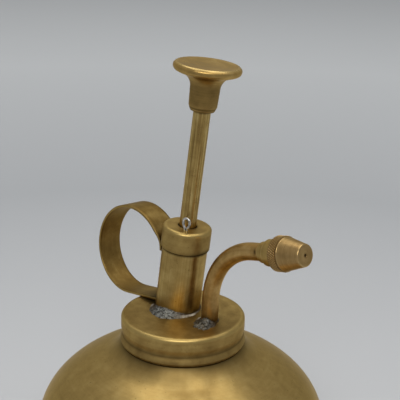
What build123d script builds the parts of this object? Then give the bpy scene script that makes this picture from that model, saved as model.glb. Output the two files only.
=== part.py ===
from build123d import *
import os
from math import acos, cos, degrees, pi, radians, sin, sqrt, tan

# A brass plant mister with a thumb pump, one solid for each piece, in millimetres.
# The origin is the centre of the foot on the table, Z is up and X is the way the nozzle sprays.
os.makedirs("parts", exist_ok=True)

# Fits shared by several pieces
solder_gap = 0.03
seat_gap = 0.05
running_gap = 0.06
loose_gap = 0.3

# Reservoir: two spun half shells joined at the widest height, and a neck for the lid
bowl_radius = 55.6
bowl_crown = 32.4
bowl_belly = 36.0
bowl_wall = 0.9
foot_radius = 34.0
shoulder_radius = 31.0
lip_rise = 6.0
seam_width = 8.0
seam_wall = 0.8
neck_radius = 22.2
neck_wall = 1.3
neck_stand = 8.9
neck_seat = 3.0

# Screw lid and its sealing ring
gasket_thickness = 1.5
gasket_width = 3.6
lid_plate = 1.0
lid_wall = 1.0
thread_gap = 0.35
lid_edge = 1.3
lid_skirt_gap = 0.8
bead_height = 3.6
bead_bulge = 0.3
groove_depth = 0.5
groove_height = 2.2

# Pump barrel, leaning toward the nozzle
pump_x = -5.6
pump_y = 2.1
pump_lean = 5.6
pump_sway = 2.7
barrel_radius = 8.6
barrel_wall = 0.9
barrel_below = 48.0

# Gland cap, with its packing, rod guide and split pin
cap_bottom = 25.4
cap_height = 8.5
cap_wall = 0.6
cap_plate = 1.0
cap_edge = 1.2
packing_thickness = 3.0
guide_thickness = 2.0
pin_wire = 0.45
pin_split = 0.5
pin_inset = 2.4
pin_bearing = -50.0
pin_turn = 15.0
pin_leg = 3.6
pin_eye_width = 1.3
pin_eye_height = 5.4

# Plunger: knob, rod and piston
rod_radius = 3.175
rod_wall = 0.95
rod_exposed = 44.5
stroke = 38.0
knob_socket = 11.0
knob_radius = 11.45
knob_height = 17.0
knob_rim = 3.1
knob_draft = 0.2
knob_dish = 0.45
knob_flare_radius = 8.0
knob_flare_height = 12.7
boss_radius = 5.45
boss_height = 8.4
boss_foot_radius = 5.2
boss_chamfer = 1.8
boss_foot_inset = 0.75
stud_grip = 8.0
stud_end = 0.7
backing_thickness = 2.0
leather_thickness = 1.4
cup_skirt = 3.6
spreader_thickness = 1.5
nut_height = 3.0
nut_radius = 4.0

# Return spring
spring_radius = 4.95
spring_wire = 0.45
spring_turns = 16

# Ball valves
ball_radius = 2.5
ball_lift = 1.5
seat_bore = 1.6
pocket_gap = 0.6
keeper_radius = 0.5
spigot_length = 5.0
spigot_radius = 4.2
suction_radius = 2.5
suction_wall = 0.6
suction_clearance = 4.0
strainer_wall = 0.6
strainer_height = 6.0
strainer_hole = 0.6
cross_radius = 2.5
cross_wall = 0.7
outlet_wall = 1.5

# Spray pipe, one tube from the outlet valve to the nozzle
pipe_x = 11.1
pipe_y = 3.2
pipe_lean = 2.5
pipe_radius = 3.175
pipe_wall = 0.95
pipe_kink = 5.0
kink_radius = 20.0
pipe_rise = 28.9
pipe_bend = 26.3
pipe_reach = 25.0
nozzle_tilt = 13.0

# Nozzle, measured along the spray from the back of its stem
stem_sleeve = 2.85
stem_sleeve_wall = 0.55
stem_collar = 3.9
stem_collar_radius = 4.75
stem_socket = 4.1
spigot_reach = 5.0
stem_thread_radius = 4.2
stem_bore = 1.5
washer_thickness = 0.6
ring_length = 4.1
ring_radius = 6.15
ring_chamfer = 0.3
cone_length = 7.9
cone_back_radius = 5.85
cone_front_radius = 3.85
orifice_radius = 0.45
orifice_plate = 1.0
core_radius = 2.6
core_groove = 0.5

# Strap finger loop
strap_width = 10.5
strap_thickness = 1.0
strap_turn = 6.2
strap_slope = 13.8
strap_reach = 6.5
loop_radius = 19.55
loop_tuck = 3.35
tab_drop = 3.1
tab_length = 2.3

# Solder
solder_spread = 2.0
solder_height = 1.7
solder_slope = 40.0
wedge_start = 0.7
wedge_width = 8.0

# Heights that follow from the sizes above
bowl_middle = bowl_belly * sqrt(1 - (foot_radius / bowl_radius) ** 2)
shoulder_angle = degrees(acos(shoulder_radius / bowl_radius))
foot_angle = degrees(acos(foot_radius / bowl_radius))
shoulder_height = bowl_middle + bowl_crown * sqrt(1 - (shoulder_radius / bowl_radius) ** 2)
lip_height = shoulder_height + lip_rise
lip_bore = neck_radius + solder_gap
neck_top = lip_height + neck_stand
lid_under = neck_top + gasket_thickness
lid_top = lid_under + lid_plate
lid_bottom = lip_height + lid_skirt_gap
lid_bore = neck_radius + thread_gap
lid_radius = lid_bore + lid_wall

# The pump has its own frame: its axis passes through the top of the lid, leans toward X and sways toward Y
lean = radians(pump_lean)
pump_base = Vector(pump_x, pump_y, lid_top)
pump_up = Vector(tan(lean), tan(radians(pump_sway)), 1).normalized()
pump_across = Vector(0, 1, 0).cross(pump_up).normalized()
pump_axis = Axis(pump_base, pump_up)
pump_level = Plane(origin=pump_base, x_dir=pump_across, z_dir=pump_up)
pump_side = Plane(origin=pump_base, x_dir=pump_across, z_dir=pump_across.cross(pump_up))

# Stations along the pump axis, counted from the top of the lid
barrel_bore = barrel_radius - barrel_wall
cap_radius = barrel_radius + seat_gap + cap_wall
cap_top = cap_bottom + cap_height
barrel_above = cap_top - cap_plate
packing_bottom = barrel_above - packing_thickness
guide_bottom = packing_bottom - guide_thickness
piston_top = guide_bottom - loose_gap
leather_top = piston_top - backing_thickness
leather_bottom = leather_top - leather_thickness
spreader_bottom = leather_bottom - spreader_thickness
nut_bottom = spreader_bottom - nut_height
knob_bottom = cap_top + rod_exposed
rod_bore = rod_radius - rod_wall
stud_radius = rod_bore - solder_gap
cup_radius = barrel_bore - running_gap

# A ball on a square cone stands this far above the narrow end of its seat
ball_stand = ball_radius * sqrt(2) - seat_bore + solder_gap
pocket_radius = ball_radius + pocket_gap
inlet_seat = -barrel_below + seat_bore
inlet_ball_height = inlet_seat + ball_stand
keeper_height = inlet_ball_height + ball_radius + ball_lift + keeper_radius + 2 * seat_gap
foot_top = keeper_height + 2.2 * keeper_radius
port_height = foot_top + 1.6 * cross_radius
outlet_seat = port_height + 1.3 * cross_radius
outlet_ball_height = outlet_seat + ball_stand
pipe_bore = pipe_radius - pipe_wall
ball_entry = sqrt(max(ball_radius**2 - pipe_bore**2, 0))
pipe_foot = outlet_ball_height + ball_lift + ball_entry + 2 * seat_gap
outlet_radius = max(pocket_radius, pipe_radius + seat_gap) + outlet_wall
pipe_base = Vector(pipe_x, pipe_y, lid_top)
pipe_way = Vector(sin(radians(pipe_lean)), 0, cos(radians(pipe_lean)))
pipe_turn = pipe_base - pipe_way * pipe_kink
pipe_run = pump_level.to_local_coords(pipe_turn).X
pipe_side = pump_level.to_local_coords(pipe_turn).Y
outlet_base = pump_level.from_local_coords((pipe_run, pipe_side, 0))
outlet_axis = Axis(outlet_base, pump_up)
outlet_plane = Plane(origin=outlet_base, x_dir=pump_across, z_dir=pump_side.z_dir)
strainer_bottom = -(lid_top - bowl_wall - suction_clearance) / pump_up.Z

# The nozzle has its own frame: its axis starts at the back of the stem and rises along the spray
tilt = radians(nozzle_tilt)
spray = Vector(cos(tilt), 0, sin(tilt))
pipe_corner = pipe_base + pipe_way * pipe_rise
stem_back = pipe_corner + spray * pipe_reach
nozzle_axis = Axis(stem_back, spray)
nozzle_side = Plane(origin=stem_back, x_dir=spray, z_dir=(0, -1, 0))
stem_front = stem_sleeve + stem_collar
thread_front = stem_front + spigot_reach
washer_front = thread_front + washer_thickness
ring_back = stem_front + loose_gap
ring_front = ring_back + ring_length
nozzle_face = ring_front + cone_length
chamber_front = nozzle_face - orifice_plate
thread_bore = stem_thread_radius + running_gap

# Upper half of the reservoir, drawn up into a lip round the neck
with BuildPart() as reservoir_upper:
    with BuildSketch(Plane.XZ):
        with BuildLine():
            crown = EllipticalCenterArc((0, bowl_middle), bowl_radius, bowl_crown, arc_size=shoulder_angle)
            flare = TangentArc(crown @ 1, (lip_bore + bowl_wall, lip_height), tangent=crown % 1)
            hollow = EllipticalCenterArc(
                (0, bowl_middle),
                bowl_radius - bowl_wall,
                bowl_crown - bowl_wall,
                arc_size=shoulder_angle,
            )
            throat = TangentArc(hollow @ 1, (lip_bore, lip_height), tangent=hollow % 1)
            Line(crown @ 0, hollow @ 0)
            Line(flare @ 1, throat @ 1)
        make_face()
    revolve(axis=Axis.Z)
reservoir_upper.part.label = "reservoir_upper"
export_step(reservoir_upper.part, "parts/reservoir_upper.step")

# Lower half, with a flat bottom to stand on
with BuildPart() as reservoir_lower:
    inner_drop = (bowl_middle - bowl_wall) / (bowl_belly - bowl_wall)
    inner_angle = degrees(acos(sqrt(1 - inner_drop**2)))
    with BuildSketch(Plane.XZ):
        with BuildLine():
            belly = EllipticalCenterArc(
                (0, bowl_middle), bowl_radius, bowl_belly, -foot_angle, arc_size=foot_angle
            )
            hollow = EllipticalCenterArc(
                (0, bowl_middle),
                bowl_radius - bowl_wall,
                bowl_belly - bowl_wall,
                -inner_angle,
                arc_size=inner_angle,
            )
            Line(belly @ 1, hollow @ 1)
            Polyline(belly @ 0, (0, 0), (0, bowl_wall), hollow @ 0)
        make_face()
    revolve(axis=Axis.Z)
reservoir_lower.part.label = "reservoir_lower"
export_step(reservoir_lower.part, "parts/reservoir_lower.step")

# Band soldered inside the seam of the two halves
with BuildPart() as seam_ring:
    seam_share = seam_width / 2 / (min(bowl_crown, bowl_belly) - bowl_wall)
    seam_radius = (bowl_radius - bowl_wall) * sqrt(1 - seam_share**2) - solder_gap
    with BuildSketch(Plane.XY.offset(bowl_middle - seam_width / 2)):
        Circle(seam_radius)
        Circle(seam_radius - seam_wall, mode=Mode.SUBTRACT)
    extrude(amount=seam_width)
seam_ring.part.label = "seam_ring"
export_step(seam_ring.part, "parts/seam_ring.step")

# Neck soldered in the lip, its thread left plain
with BuildPart() as neck_collar:
    with BuildSketch(Plane.XY.offset(lip_height - neck_seat)):
        Circle(neck_radius)
        Circle(neck_radius - neck_wall, mode=Mode.SUBTRACT)
    extrude(amount=neck_seat + neck_stand)
neck_collar.part.label = "neck_collar"
export_step(neck_collar.part, "parts/neck_collar.step")

# Sealing ring between the top of the neck and the lid
with BuildPart() as lid_gasket:
    with BuildSketch(Plane.XY.offset(neck_top)):
        Circle(neck_radius)
        Circle(neck_radius - gasket_width, mode=Mode.SUBTRACT)
    extrude(amount=gasket_thickness)
lid_gasket.part.label = "lid_gasket"
export_step(lid_gasket.part, "parts/lid_gasket.step")

# Pressed lid with a rounded edge and a rolled bead, cut for the barrel and the pipe
with BuildPart() as lid:
    bead_top = lid_bottom + bead_height
    with BuildSketch(Plane.XZ):
        with BuildLine():
            Line((0, lid_top), (lid_radius - lid_edge, lid_top))
            TangentArc((lid_radius - lid_edge, lid_top), (lid_radius, lid_top - lid_edge), tangent=(1, 0))
            Line((lid_radius, lid_top - lid_edge), (lid_radius, bead_top + groove_height))
            TangentArc(
                (lid_radius, bead_top + groove_height),
                (lid_radius - groove_depth, bead_top),
                tangent=(0, -1),
            )
            ThreePointArc(
                (lid_radius - groove_depth, bead_top),
                (lid_radius + bead_bulge, lid_bottom + bead_height / 2),
                (lid_radius - groove_depth / 2, lid_bottom),
            )
            Polyline(
                (lid_radius - groove_depth / 2, lid_bottom),
                (lid_bore, lid_bottom),
                (lid_bore, lid_under),
                (0, lid_under),
                (0, lid_top),
            )
        make_face()
    revolve(axis=Axis.Z)
    with BuildSketch(pump_level):
        Circle(barrel_radius + solder_gap)
    extrude(amount=4 * lid_plate, both=True, mode=Mode.SUBTRACT)
    with BuildSketch(Plane(pipe_base, z_dir=pipe_way)):
        Circle(pipe_radius + solder_gap)
    extrude(amount=2 * lid_plate, both=True, mode=Mode.SUBTRACT)
lid.part.label = "lid"
export_step(lid.part, "parts/lid.step")

# Pump barrel, drilled for the cross tube
with BuildPart() as pump_barrel:
    with BuildSketch(pump_level.offset(-barrel_below)):
        Circle(barrel_radius)
        Circle(barrel_bore, mode=Mode.SUBTRACT)
    extrude(amount=barrel_below + barrel_above)
    with BuildSketch(Plane(pump_level.from_local_coords((0, pipe_side, port_height)), z_dir=pump_across)):
        Circle(cross_radius + solder_gap)
    extrude(amount=2 * barrel_radius, mode=Mode.SUBTRACT)
pump_barrel.part.label = "pump_barrel"
export_step(pump_barrel.part, "parts/pump_barrel.step")

# Where the split pin stands, on the pump's own frame
pin_distance = barrel_radius - pin_inset
pin_across = pin_distance * cos(radians(pin_bearing))
pin_along = pin_distance * sin(radians(pin_bearing))
pin_hole = pin_split + pin_wire + seat_gap

# Gland cap on the top of the barrel
with BuildPart() as gland_cap:
    with BuildSketch(pump_side):
        with BuildLine():
            Polyline(
                (rod_radius + loose_gap, cap_top),
                (rod_radius + loose_gap, barrel_above),
                (barrel_radius + seat_gap, barrel_above),
                (barrel_radius + seat_gap, cap_bottom),
                (cap_radius, cap_bottom),
                (cap_radius, cap_top - cap_edge),
            )
            TangentArc((cap_radius, cap_top - cap_edge), (cap_radius - cap_edge, cap_top), tangent=(0, 1))
            Line((cap_radius - cap_edge, cap_top), (rod_radius + loose_gap, cap_top))
        make_face()
    revolve(axis=pump_axis)
    with BuildSketch(pump_level.offset(cap_top)):
        with Locations((pin_across, pin_along)):
            Circle(pin_hole)
    extrude(amount=-2 * cap_plate, mode=Mode.SUBTRACT)
gland_cap.part.label = "gland_cap"
export_step(gland_cap.part, "parts/gland_cap.step")

# Felt packing that wipes the rod
with BuildPart() as gland_packing:
    with BuildSketch(pump_level.offset(packing_bottom)):
        Circle(barrel_bore - seat_gap)
        Circle(rod_radius + running_gap, mode=Mode.SUBTRACT)
        with Locations((pin_across, pin_along)):
            Circle(pin_hole, mode=Mode.SUBTRACT)
    extrude(amount=packing_thickness)
gland_packing.part.label = "gland_packing"
export_step(gland_packing.part, "parts/gland_packing.step")

# Rod guide, pressed in the barrel under the packing
with BuildPart() as rod_guide:
    with BuildSketch(pump_level.offset(guide_bottom)):
        Circle(barrel_bore - solder_gap)
        Circle(rod_radius + running_gap, mode=Mode.SUBTRACT)
    extrude(amount=guide_thickness)
rod_guide.part.label = "rod_guide"
export_step(rod_guide.part, "parts/rod_guide.step")

# Split pin: one wire bent to an eye with two legs
with BuildPart() as split_pin:
    eye_across = pump_across.rotate(Axis((0, 0, 0), pump_up), pin_turn)
    pin_plane = Plane(
        origin=pump_level.from_local_coords((pin_across, pin_along, cap_top)),
        x_dir=eye_across,
        z_dir=eye_across.cross(pump_up),
    )
    eye_top = pin_eye_height - pin_wire
    with BuildLine(pin_plane) as pin_path:
        FilletPolyline(
            (-pin_split, -pin_leg),
            (-pin_split, 2 * pin_wire),
            (-pin_eye_width, 0.5 * eye_top),
            (-pin_eye_width, eye_top),
            (pin_eye_width, eye_top),
            (pin_eye_width, 0.5 * eye_top),
            (pin_split, 2 * pin_wire),
            (pin_split, -pin_leg),
            radius=[1.4 * pin_wire, 1.4 * pin_wire, 0.95 * pin_eye_width]
            + [0.95 * pin_eye_width, 1.4 * pin_wire, 1.4 * pin_wire],
        )
    with BuildSketch(Plane(pin_path.line @ 0, z_dir=pin_path.line % 0)):
        Circle(pin_wire)
    sweep(path=pin_path.line)
split_pin.part.label = "split_pin"
export_step(split_pin.part, "parts/split_pin.step")

# Turned knob, its rim dished for the thumb
with BuildPart() as thumb_knob:
    with BuildSketch(pump_side):
        with BuildLine():
            boss_top = (boss_radius, knob_bottom + boss_height)
            rim_low = (knob_radius - knob_draft, knob_bottom + knob_height - knob_rim)
            rim_high = (knob_radius, knob_bottom + knob_height)
            Polyline(
                (0, knob_bottom + knob_socket),
                (rod_radius + solder_gap, knob_bottom + knob_socket),
                (rod_radius + solder_gap, knob_bottom),
                (boss_foot_radius - boss_foot_inset, knob_bottom),
                (boss_foot_radius, knob_bottom + boss_chamfer),
            )
            boss = Line((boss_foot_radius, knob_bottom + boss_chamfer), boss_top)
            under = TangentArc(
                boss_top, (knob_flare_radius, knob_bottom + knob_flare_height), tangent=boss % 1
            )
            rake = Line(under @ 1, rim_low)
            rim = TangentArc(rim_low, rim_high, tangent=rake % 1)
            TangentArc((0, knob_bottom + knob_height - knob_dish), rim_high, tangent=(1, 0))
            Line((0, knob_bottom + knob_height - knob_dish), (0, knob_bottom + knob_socket))
        make_face()
    revolve(axis=pump_axis)
thumb_knob.part.label = "thumb_knob"
export_step(thumb_knob.part, "parts/thumb_knob.step")

# Plunger rod, a drawn tube from the piston to the socket of the knob
with BuildPart() as plunger_rod:
    with BuildSketch(pump_level.offset(piston_top)):
        Circle(rod_radius)
        Circle(rod_bore, mode=Mode.SUBTRACT)
    extrude(amount=knob_bottom + knob_socket - seat_gap - piston_top)
plunger_rod.part.label = "plunger_rod"
export_step(plunger_rod.part, "parts/plunger_rod.step")

# Stud soldered in the end of the rod, through the piston and its nut
with BuildPart() as piston_stud:
    with BuildSketch(pump_level.offset(nut_bottom - stud_end)):
        Circle(stud_radius)
    extrude(amount=piston_top + stud_grip - nut_bottom + stud_end)
piston_stud.part.label = "piston_stud"
export_step(piston_stud.part, "parts/piston_stud.step")

# Backing washer above the cup leather
with BuildPart() as piston_backing:
    with BuildSketch(pump_level.offset(leather_top)):
        Circle(cup_radius - loose_gap)
        Circle(stud_radius + seat_gap, mode=Mode.SUBTRACT)
    extrude(amount=backing_thickness)
piston_backing.part.label = "piston_backing"
export_step(piston_backing.part, "parts/piston_backing.step")

# Cup leather, its skirt turned down against the bore
with BuildPart() as piston_cup:
    with BuildSketch(pump_side):
        Polygon(
            (stud_radius + seat_gap, leather_top),
            (cup_radius, leather_top),
            (cup_radius, leather_bottom - cup_skirt),
            (cup_radius - leather_thickness / 2, leather_bottom - cup_skirt),
            (cup_radius - leather_thickness, leather_bottom),
            (stud_radius + seat_gap, leather_bottom),
            align=None,
        )
    revolve(axis=pump_axis)
piston_cup.part.label = "piston_cup"
export_step(piston_cup.part, "parts/piston_cup.step")

# Spreader washer inside the cup
with BuildPart() as piston_spreader:
    with BuildSketch(pump_level.offset(spreader_bottom)):
        Circle(cup_radius - leather_thickness - seat_gap)
        Circle(stud_radius + seat_gap, mode=Mode.SUBTRACT)
    extrude(amount=spreader_thickness)
piston_spreader.part.label = "piston_spreader"
export_step(piston_spreader.part, "parts/piston_spreader.step")

# Hexagon nut on the stud
with BuildPart() as piston_nut:
    with BuildSketch(pump_level.offset(nut_bottom)):
        RegularPolygon(nut_radius, 6)
        Circle(stud_radius + seat_gap, mode=Mode.SUBTRACT)
    extrude(amount=nut_height)
piston_nut.part.label = "piston_nut"
export_step(piston_nut.part, "parts/piston_nut.step")


def coil_point(turn, low, pitch):
    """Point and direction of the spring wire after so many turns round the pump axis."""
    angle = 2 * pi * turn
    point = (spring_radius * cos(angle), spring_radius * sin(angle), low + pitch * turn)
    heading = (-spring_radius * sin(angle), spring_radius * cos(angle), pitch / (2 * pi))
    way = pump_level.from_local_coords(heading) - pump_level.origin
    return pump_level.from_local_coords(point), way.normalized()


# Return spring between the foot valve and the spreader, each quarter turn two arcs
with BuildPart() as return_spring:
    spring_low = foot_top + spring_wire + seat_gap
    spring_pitch = (spreader_bottom - spring_wire - seat_gap - spring_low) / spring_turns
    with BuildLine() as spring_path:
        for quarter in range(4 * spring_turns):
            start, start_way = coil_point(quarter / 4, spring_low, spring_pitch)
            end, end_way = coil_point((quarter + 1) / 4, spring_low, spring_pitch)
            span = end - start
            both = start_way + end_way
            spread = 2 * (1 - start_way.dot(end_way))
            along = span.dot(both)
            reach = (sqrt(along**2 + spread * span.dot(span)) - along) / spread
            middle = (start + end + (start_way - end_way) * reach) * 0.5
            middle_way = (end - end_way * reach) - (start + start_way * reach)
            TangentArc(start, middle, tangent=start_way)
            TangentArc(middle, end, tangent=middle_way.normalized())
    with BuildSketch(Plane(spring_path.line @ 0, z_dir=spring_path.line % 0)):
        Circle(spring_wire)
    sweep(path=spring_path.line)
print("least gap between turns of the spring:", round(spring_pitch - 2 * spring_wire, 2))
return_spring.part.label = "return_spring"
export_step(return_spring.part, "parts/return_spring.step")

# Foot valve, closing the barrel, with a pocket for the inlet ball and a socket for the suction tube
with BuildPart() as foot_valve_body:
    spigot_bottom = -barrel_below - spigot_length
    socket_top = spigot_bottom + 0.7 * spigot_length
    with BuildSketch(pump_side):
        Polygon(
            (pocket_radius, foot_top),
            (barrel_bore - solder_gap, foot_top),
            (barrel_bore - solder_gap, -barrel_below),
            (barrel_radius, -barrel_below),
            (barrel_radius, -barrel_below - barrel_wall),
            (spigot_radius, -barrel_below - barrel_wall),
            (spigot_radius, spigot_bottom),
            (suction_radius + solder_gap, spigot_bottom),
            (suction_radius + solder_gap, socket_top),
            (seat_bore, socket_top),
            (seat_bore, inlet_seat),
            (pocket_radius, inlet_seat + pocket_radius - seat_bore),
            align=None,
        )
    revolve(axis=pump_axis)
    with BuildSketch(Plane(pump_level.from_local_coords((0, 0, keeper_height)), z_dir=pump_side.z_dir)):
        Circle(keeper_radius + solder_gap)
    extrude(amount=barrel_radius, both=True, mode=Mode.SUBTRACT)
foot_valve_body.part.label = "foot_valve_body"
export_step(foot_valve_body.part, "parts/foot_valve_body.step")

# Inlet ball on its seat
with BuildPart() as inlet_ball:
    with Locations(Plane(pump_level.from_local_coords((0, 0, inlet_ball_height)))):
        Sphere(ball_radius)
inlet_ball.part.label = "inlet_ball"
export_step(inlet_ball.part, "parts/inlet_ball.step")

# Cross pin that keeps the inlet ball in its pocket
with BuildPart() as ball_pin:
    with BuildSketch(Plane(pump_level.from_local_coords((0, 0, keeper_height)), z_dir=pump_side.z_dir)):
        Circle(keeper_radius)
    extrude(amount=barrel_bore - 2 * keeper_radius, both=True)
ball_pin.part.label = "ball_pin"
export_step(ball_pin.part, "parts/ball_pin.step")

# Suction tube down to the bottom of the reservoir
with BuildPart() as suction_tube:
    tube_bottom = strainer_bottom + 0.5 * strainer_height
    with BuildSketch(pump_level.offset(tube_bottom)):
        Circle(suction_radius)
        Circle(suction_radius - suction_wall, mode=Mode.SUBTRACT)
    extrude(amount=socket_top - seat_gap - tube_bottom)
suction_tube.part.label = "suction_tube"
export_step(suction_tube.part, "parts/suction_tube.step")

# Strainer, a thimble with two rows of holes
with BuildPart() as inlet_strainer:
    with BuildSketch(pump_level.offset(strainer_bottom)):
        Circle(suction_radius + solder_gap + strainer_wall)
    extrude(amount=strainer_height)
    with BuildSketch(pump_level.offset(strainer_bottom + strainer_wall)):
        Circle(suction_radius + solder_gap)
    extrude(amount=strainer_height, mode=Mode.SUBTRACT)
    with BuildSketch(pump_level.offset(strainer_bottom)):
        with PolarLocations(0.6 * suction_radius, 6):
            Circle(strainer_hole / 2)
    extrude(amount=2 * strainer_wall, mode=Mode.SUBTRACT)
    for bearing in range(0, 180, 45):
        across = Vector(1, 0, 0).rotate(Axis.Z, bearing)
        mouth = pump_level.from_local_coords((0, 0, strainer_bottom + 0.3 * strainer_height))
        way = pump_level.from_local_coords(across) - pump_level.origin
        with BuildSketch(Plane(mouth, z_dir=way)):
            Circle(strainer_hole)
        extrude(amount=2 * suction_radius, both=True, mode=Mode.SUBTRACT)
inlet_strainer.part.label = "inlet_strainer"
export_step(inlet_strainer.part, "parts/inlet_strainer.step")

# Cross tube from the barrel to the outlet valve
with BuildPart() as cross_tube:
    cross_start = barrel_bore + 0.3 * barrel_wall
    cross_end = pipe_run - seat_bore - 2 * solder_gap
    cross_plane = Plane(
        pump_level.from_local_coords((cross_start, pipe_side, port_height)), z_dir=pump_across
    )
    with BuildSketch(cross_plane):
        Circle(cross_radius)
        Circle(cross_radius - cross_wall, mode=Mode.SUBTRACT)
    extrude(amount=cross_end - cross_start)
cross_tube.part.label = "cross_tube"
export_step(cross_tube.part, "parts/cross_tube.step")

# Outlet valve, with a seat above the cross tube and a socket for the spray pipe
with BuildPart() as outlet_valve_body:
    outlet_bottom = port_height - cross_radius - outlet_wall
    outlet_top = pipe_foot + pipe_radius
    with BuildSketch(outlet_plane):
        Polygon(
            (0, outlet_bottom),
            (outlet_radius, outlet_bottom),
            (outlet_radius, outlet_top),
            (pipe_radius + solder_gap, outlet_top),
            (pipe_radius + solder_gap, pipe_foot - seat_gap),
            (pocket_radius, pipe_foot - seat_gap),
            (pocket_radius, outlet_seat + pocket_radius - seat_bore),
            (seat_bore, outlet_seat),
            (seat_bore, port_height - cross_radius),
            (0, port_height - cross_radius),
            align=None,
        )
    revolve(axis=outlet_axis)
    outlet_mouth = pump_level.from_local_coords((pipe_run - seat_bore, pipe_side, port_height))
    with BuildSketch(Plane(outlet_mouth, z_dir=-pump_across)):
        Circle(cross_radius + solder_gap)
    extrude(amount=2 * outlet_radius, mode=Mode.SUBTRACT)
outlet_valve_body.part.label = "outlet_valve_body"
export_step(outlet_valve_body.part, "parts/outlet_valve_body.step")

# Outlet ball on its seat
with BuildPart() as outlet_ball:
    with Locations(Plane(pump_level.from_local_coords((pipe_run, pipe_side, outlet_ball_height)))):
        Sphere(ball_radius)
outlet_ball.part.label = "outlet_ball"
export_step(outlet_ball.part, "parts/outlet_ball.step")

# Spray pipe: along the barrel, up through the lid, then over to the nozzle
with BuildPart() as spray_pipe:
    pipe_start = pump_level.from_local_coords((pipe_run, pipe_side, pipe_foot))
    with BuildLine() as pipe_path:
        FilletPolyline(
            pipe_start,
            pipe_turn,
            pipe_corner,
            stem_back + spray * (stem_socket - seat_gap),
            radius=[kink_radius, pipe_bend],
        )
    with BuildSketch(Plane(pipe_path.line @ 0, z_dir=pipe_path.line % 0)):
        Circle(pipe_radius)
        Circle(pipe_bore, mode=Mode.SUBTRACT)
    sweep(path=pipe_path.line)
spray_pipe.part.label = "spray_pipe"
export_step(spray_pipe.part, "parts/spray_pipe.step")

# Nozzle stem: sleeve on the pipe, collar and threaded spigot
with BuildPart() as nozzle_stem:
    sleeve_bore = pipe_radius + solder_gap
    with BuildSketch(nozzle_side):
        Polygon(
            (0, sleeve_bore),
            (0, sleeve_bore + stem_sleeve_wall),
            (stem_sleeve, sleeve_bore + stem_sleeve_wall),
            (stem_sleeve, stem_collar_radius),
            (stem_front, stem_collar_radius),
            (stem_front, stem_thread_radius),
            (thread_front, stem_thread_radius),
            (thread_front, stem_bore),
            (stem_socket, stem_bore),
            (stem_socket, sleeve_bore),
            align=None,
        )
    revolve(axis=nozzle_axis)
nozzle_stem.part.label = "nozzle_stem"
export_step(nozzle_stem.part, "parts/nozzle_stem.step")

# Fibre washer that the cap closes on
with BuildPart() as nozzle_washer:
    with BuildSketch(Plane(stem_back + spray * thread_front, z_dir=spray)):
        Circle(stem_thread_radius - seat_gap)
        Circle(stem_bore, mode=Mode.SUBTRACT)
    extrude(amount=washer_thickness)
nozzle_washer.part.label = "nozzle_washer"
export_step(nozzle_washer.part, "parts/nozzle_washer.step")

# Swirl core, grooved along its side
with BuildPart() as swirl_core:
    core_back = washer_front + 2 * seat_gap
    with BuildSketch(Plane(stem_back + spray * core_back, z_dir=spray)):
        Circle(core_radius)
        with PolarLocations(core_radius, 3):
            Circle(core_groove, mode=Mode.SUBTRACT)
    extrude(amount=chamber_front - loose_gap - core_back)
swirl_core.part.label = "swirl_core"
export_step(swirl_core.part, "parts/swirl_core.step")

# Nozzle cap: grip ring, cone and a fine orifice in its face
with BuildPart() as nozzle_cap:
    with BuildSketch(nozzle_side):
        Polygon(
            (ring_back, thread_bore),
            (ring_back, ring_radius - ring_chamfer),
            (ring_back + ring_chamfer, ring_radius),
            (ring_front - ring_chamfer, ring_radius),
            (ring_front, cone_back_radius),
            (nozzle_face, cone_front_radius),
            (nozzle_face, orifice_radius),
            (chamber_front, orifice_radius),
            (chamber_front, core_radius + running_gap),
            (washer_front + seat_gap, core_radius + running_gap),
            (washer_front + seat_gap, thread_bore),
            align=None,
        )
    revolve(axis=nozzle_axis)
nozzle_cap.part.label = "nozzle_cap"
export_step(nozzle_cap.part, "parts/nozzle_cap.step")

# The loop stands in the plane of the pump axis, on the side away from the nozzle
loop_side = Plane(origin=pump_base, x_dir=-pump_across, z_dir=pump_level.y_dir)
strap_rest = strap_thickness / 2 + seat_gap
tab_end = cap_bottom - tab_drop
tab_start = tab_end - tab_length
tab_tip = Vector(barrel_radius + strap_rest, tab_end)
turn_centre = tab_tip + Vector(strap_turn, 0)

# The strap turns off the barrel and runs on into the loop without a corner
loop_distance = barrel_radius + loop_radius - loop_tuck
loop_drop = sqrt((loop_radius - strap_turn) ** 2 - (loop_distance - turn_centre.X) ** 2)
loop_centre = Vector(loop_distance, tab_end - loop_drop)
loop_join = loop_centre + (turn_centre - loop_centre).normalized() * loop_radius

# The low edge of the strap touches the lid where its top begins to round over
edge_start = pump_base + pump_level.y_dir * strap_width / 2
edge_way = Vector(-pump_across.X, -pump_across.Y).normalized()
edge_from = Vector(edge_start.X, edge_start.Y)
edge_middle = edge_from.dot(edge_way)
edge_span = sqrt((lid_radius - lid_edge) ** 2 - edge_from.dot(edge_from) + edge_middle**2)
rim_point = edge_from + edge_way * (edge_span - edge_middle) + Vector(0, 0, lid_top)
rim_local = loop_side.to_local_coords(rim_point)

# Below its far point the loop is rounder, so that it runs on into the sloping end of the strap
slope = radians(strap_slope)
strap_normal = Vector(sin(slope), cos(slope))
strap_way = Vector(-cos(slope), sin(slope))
strap_touch = Vector(rim_local.X, rim_local.Y) + strap_normal * strap_rest
far_point = loop_centre + Vector(loop_radius, 0)
low_radius = (far_point - strap_touch).dot(strap_normal) / (1 + sin(slope))
low_centre = far_point - Vector(low_radius, 0)
strap_leave = low_centre - strap_normal * low_radius
strap_end = strap_leave + strap_way * ((strap_leave.X - strap_reach) / cos(slope))

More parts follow.
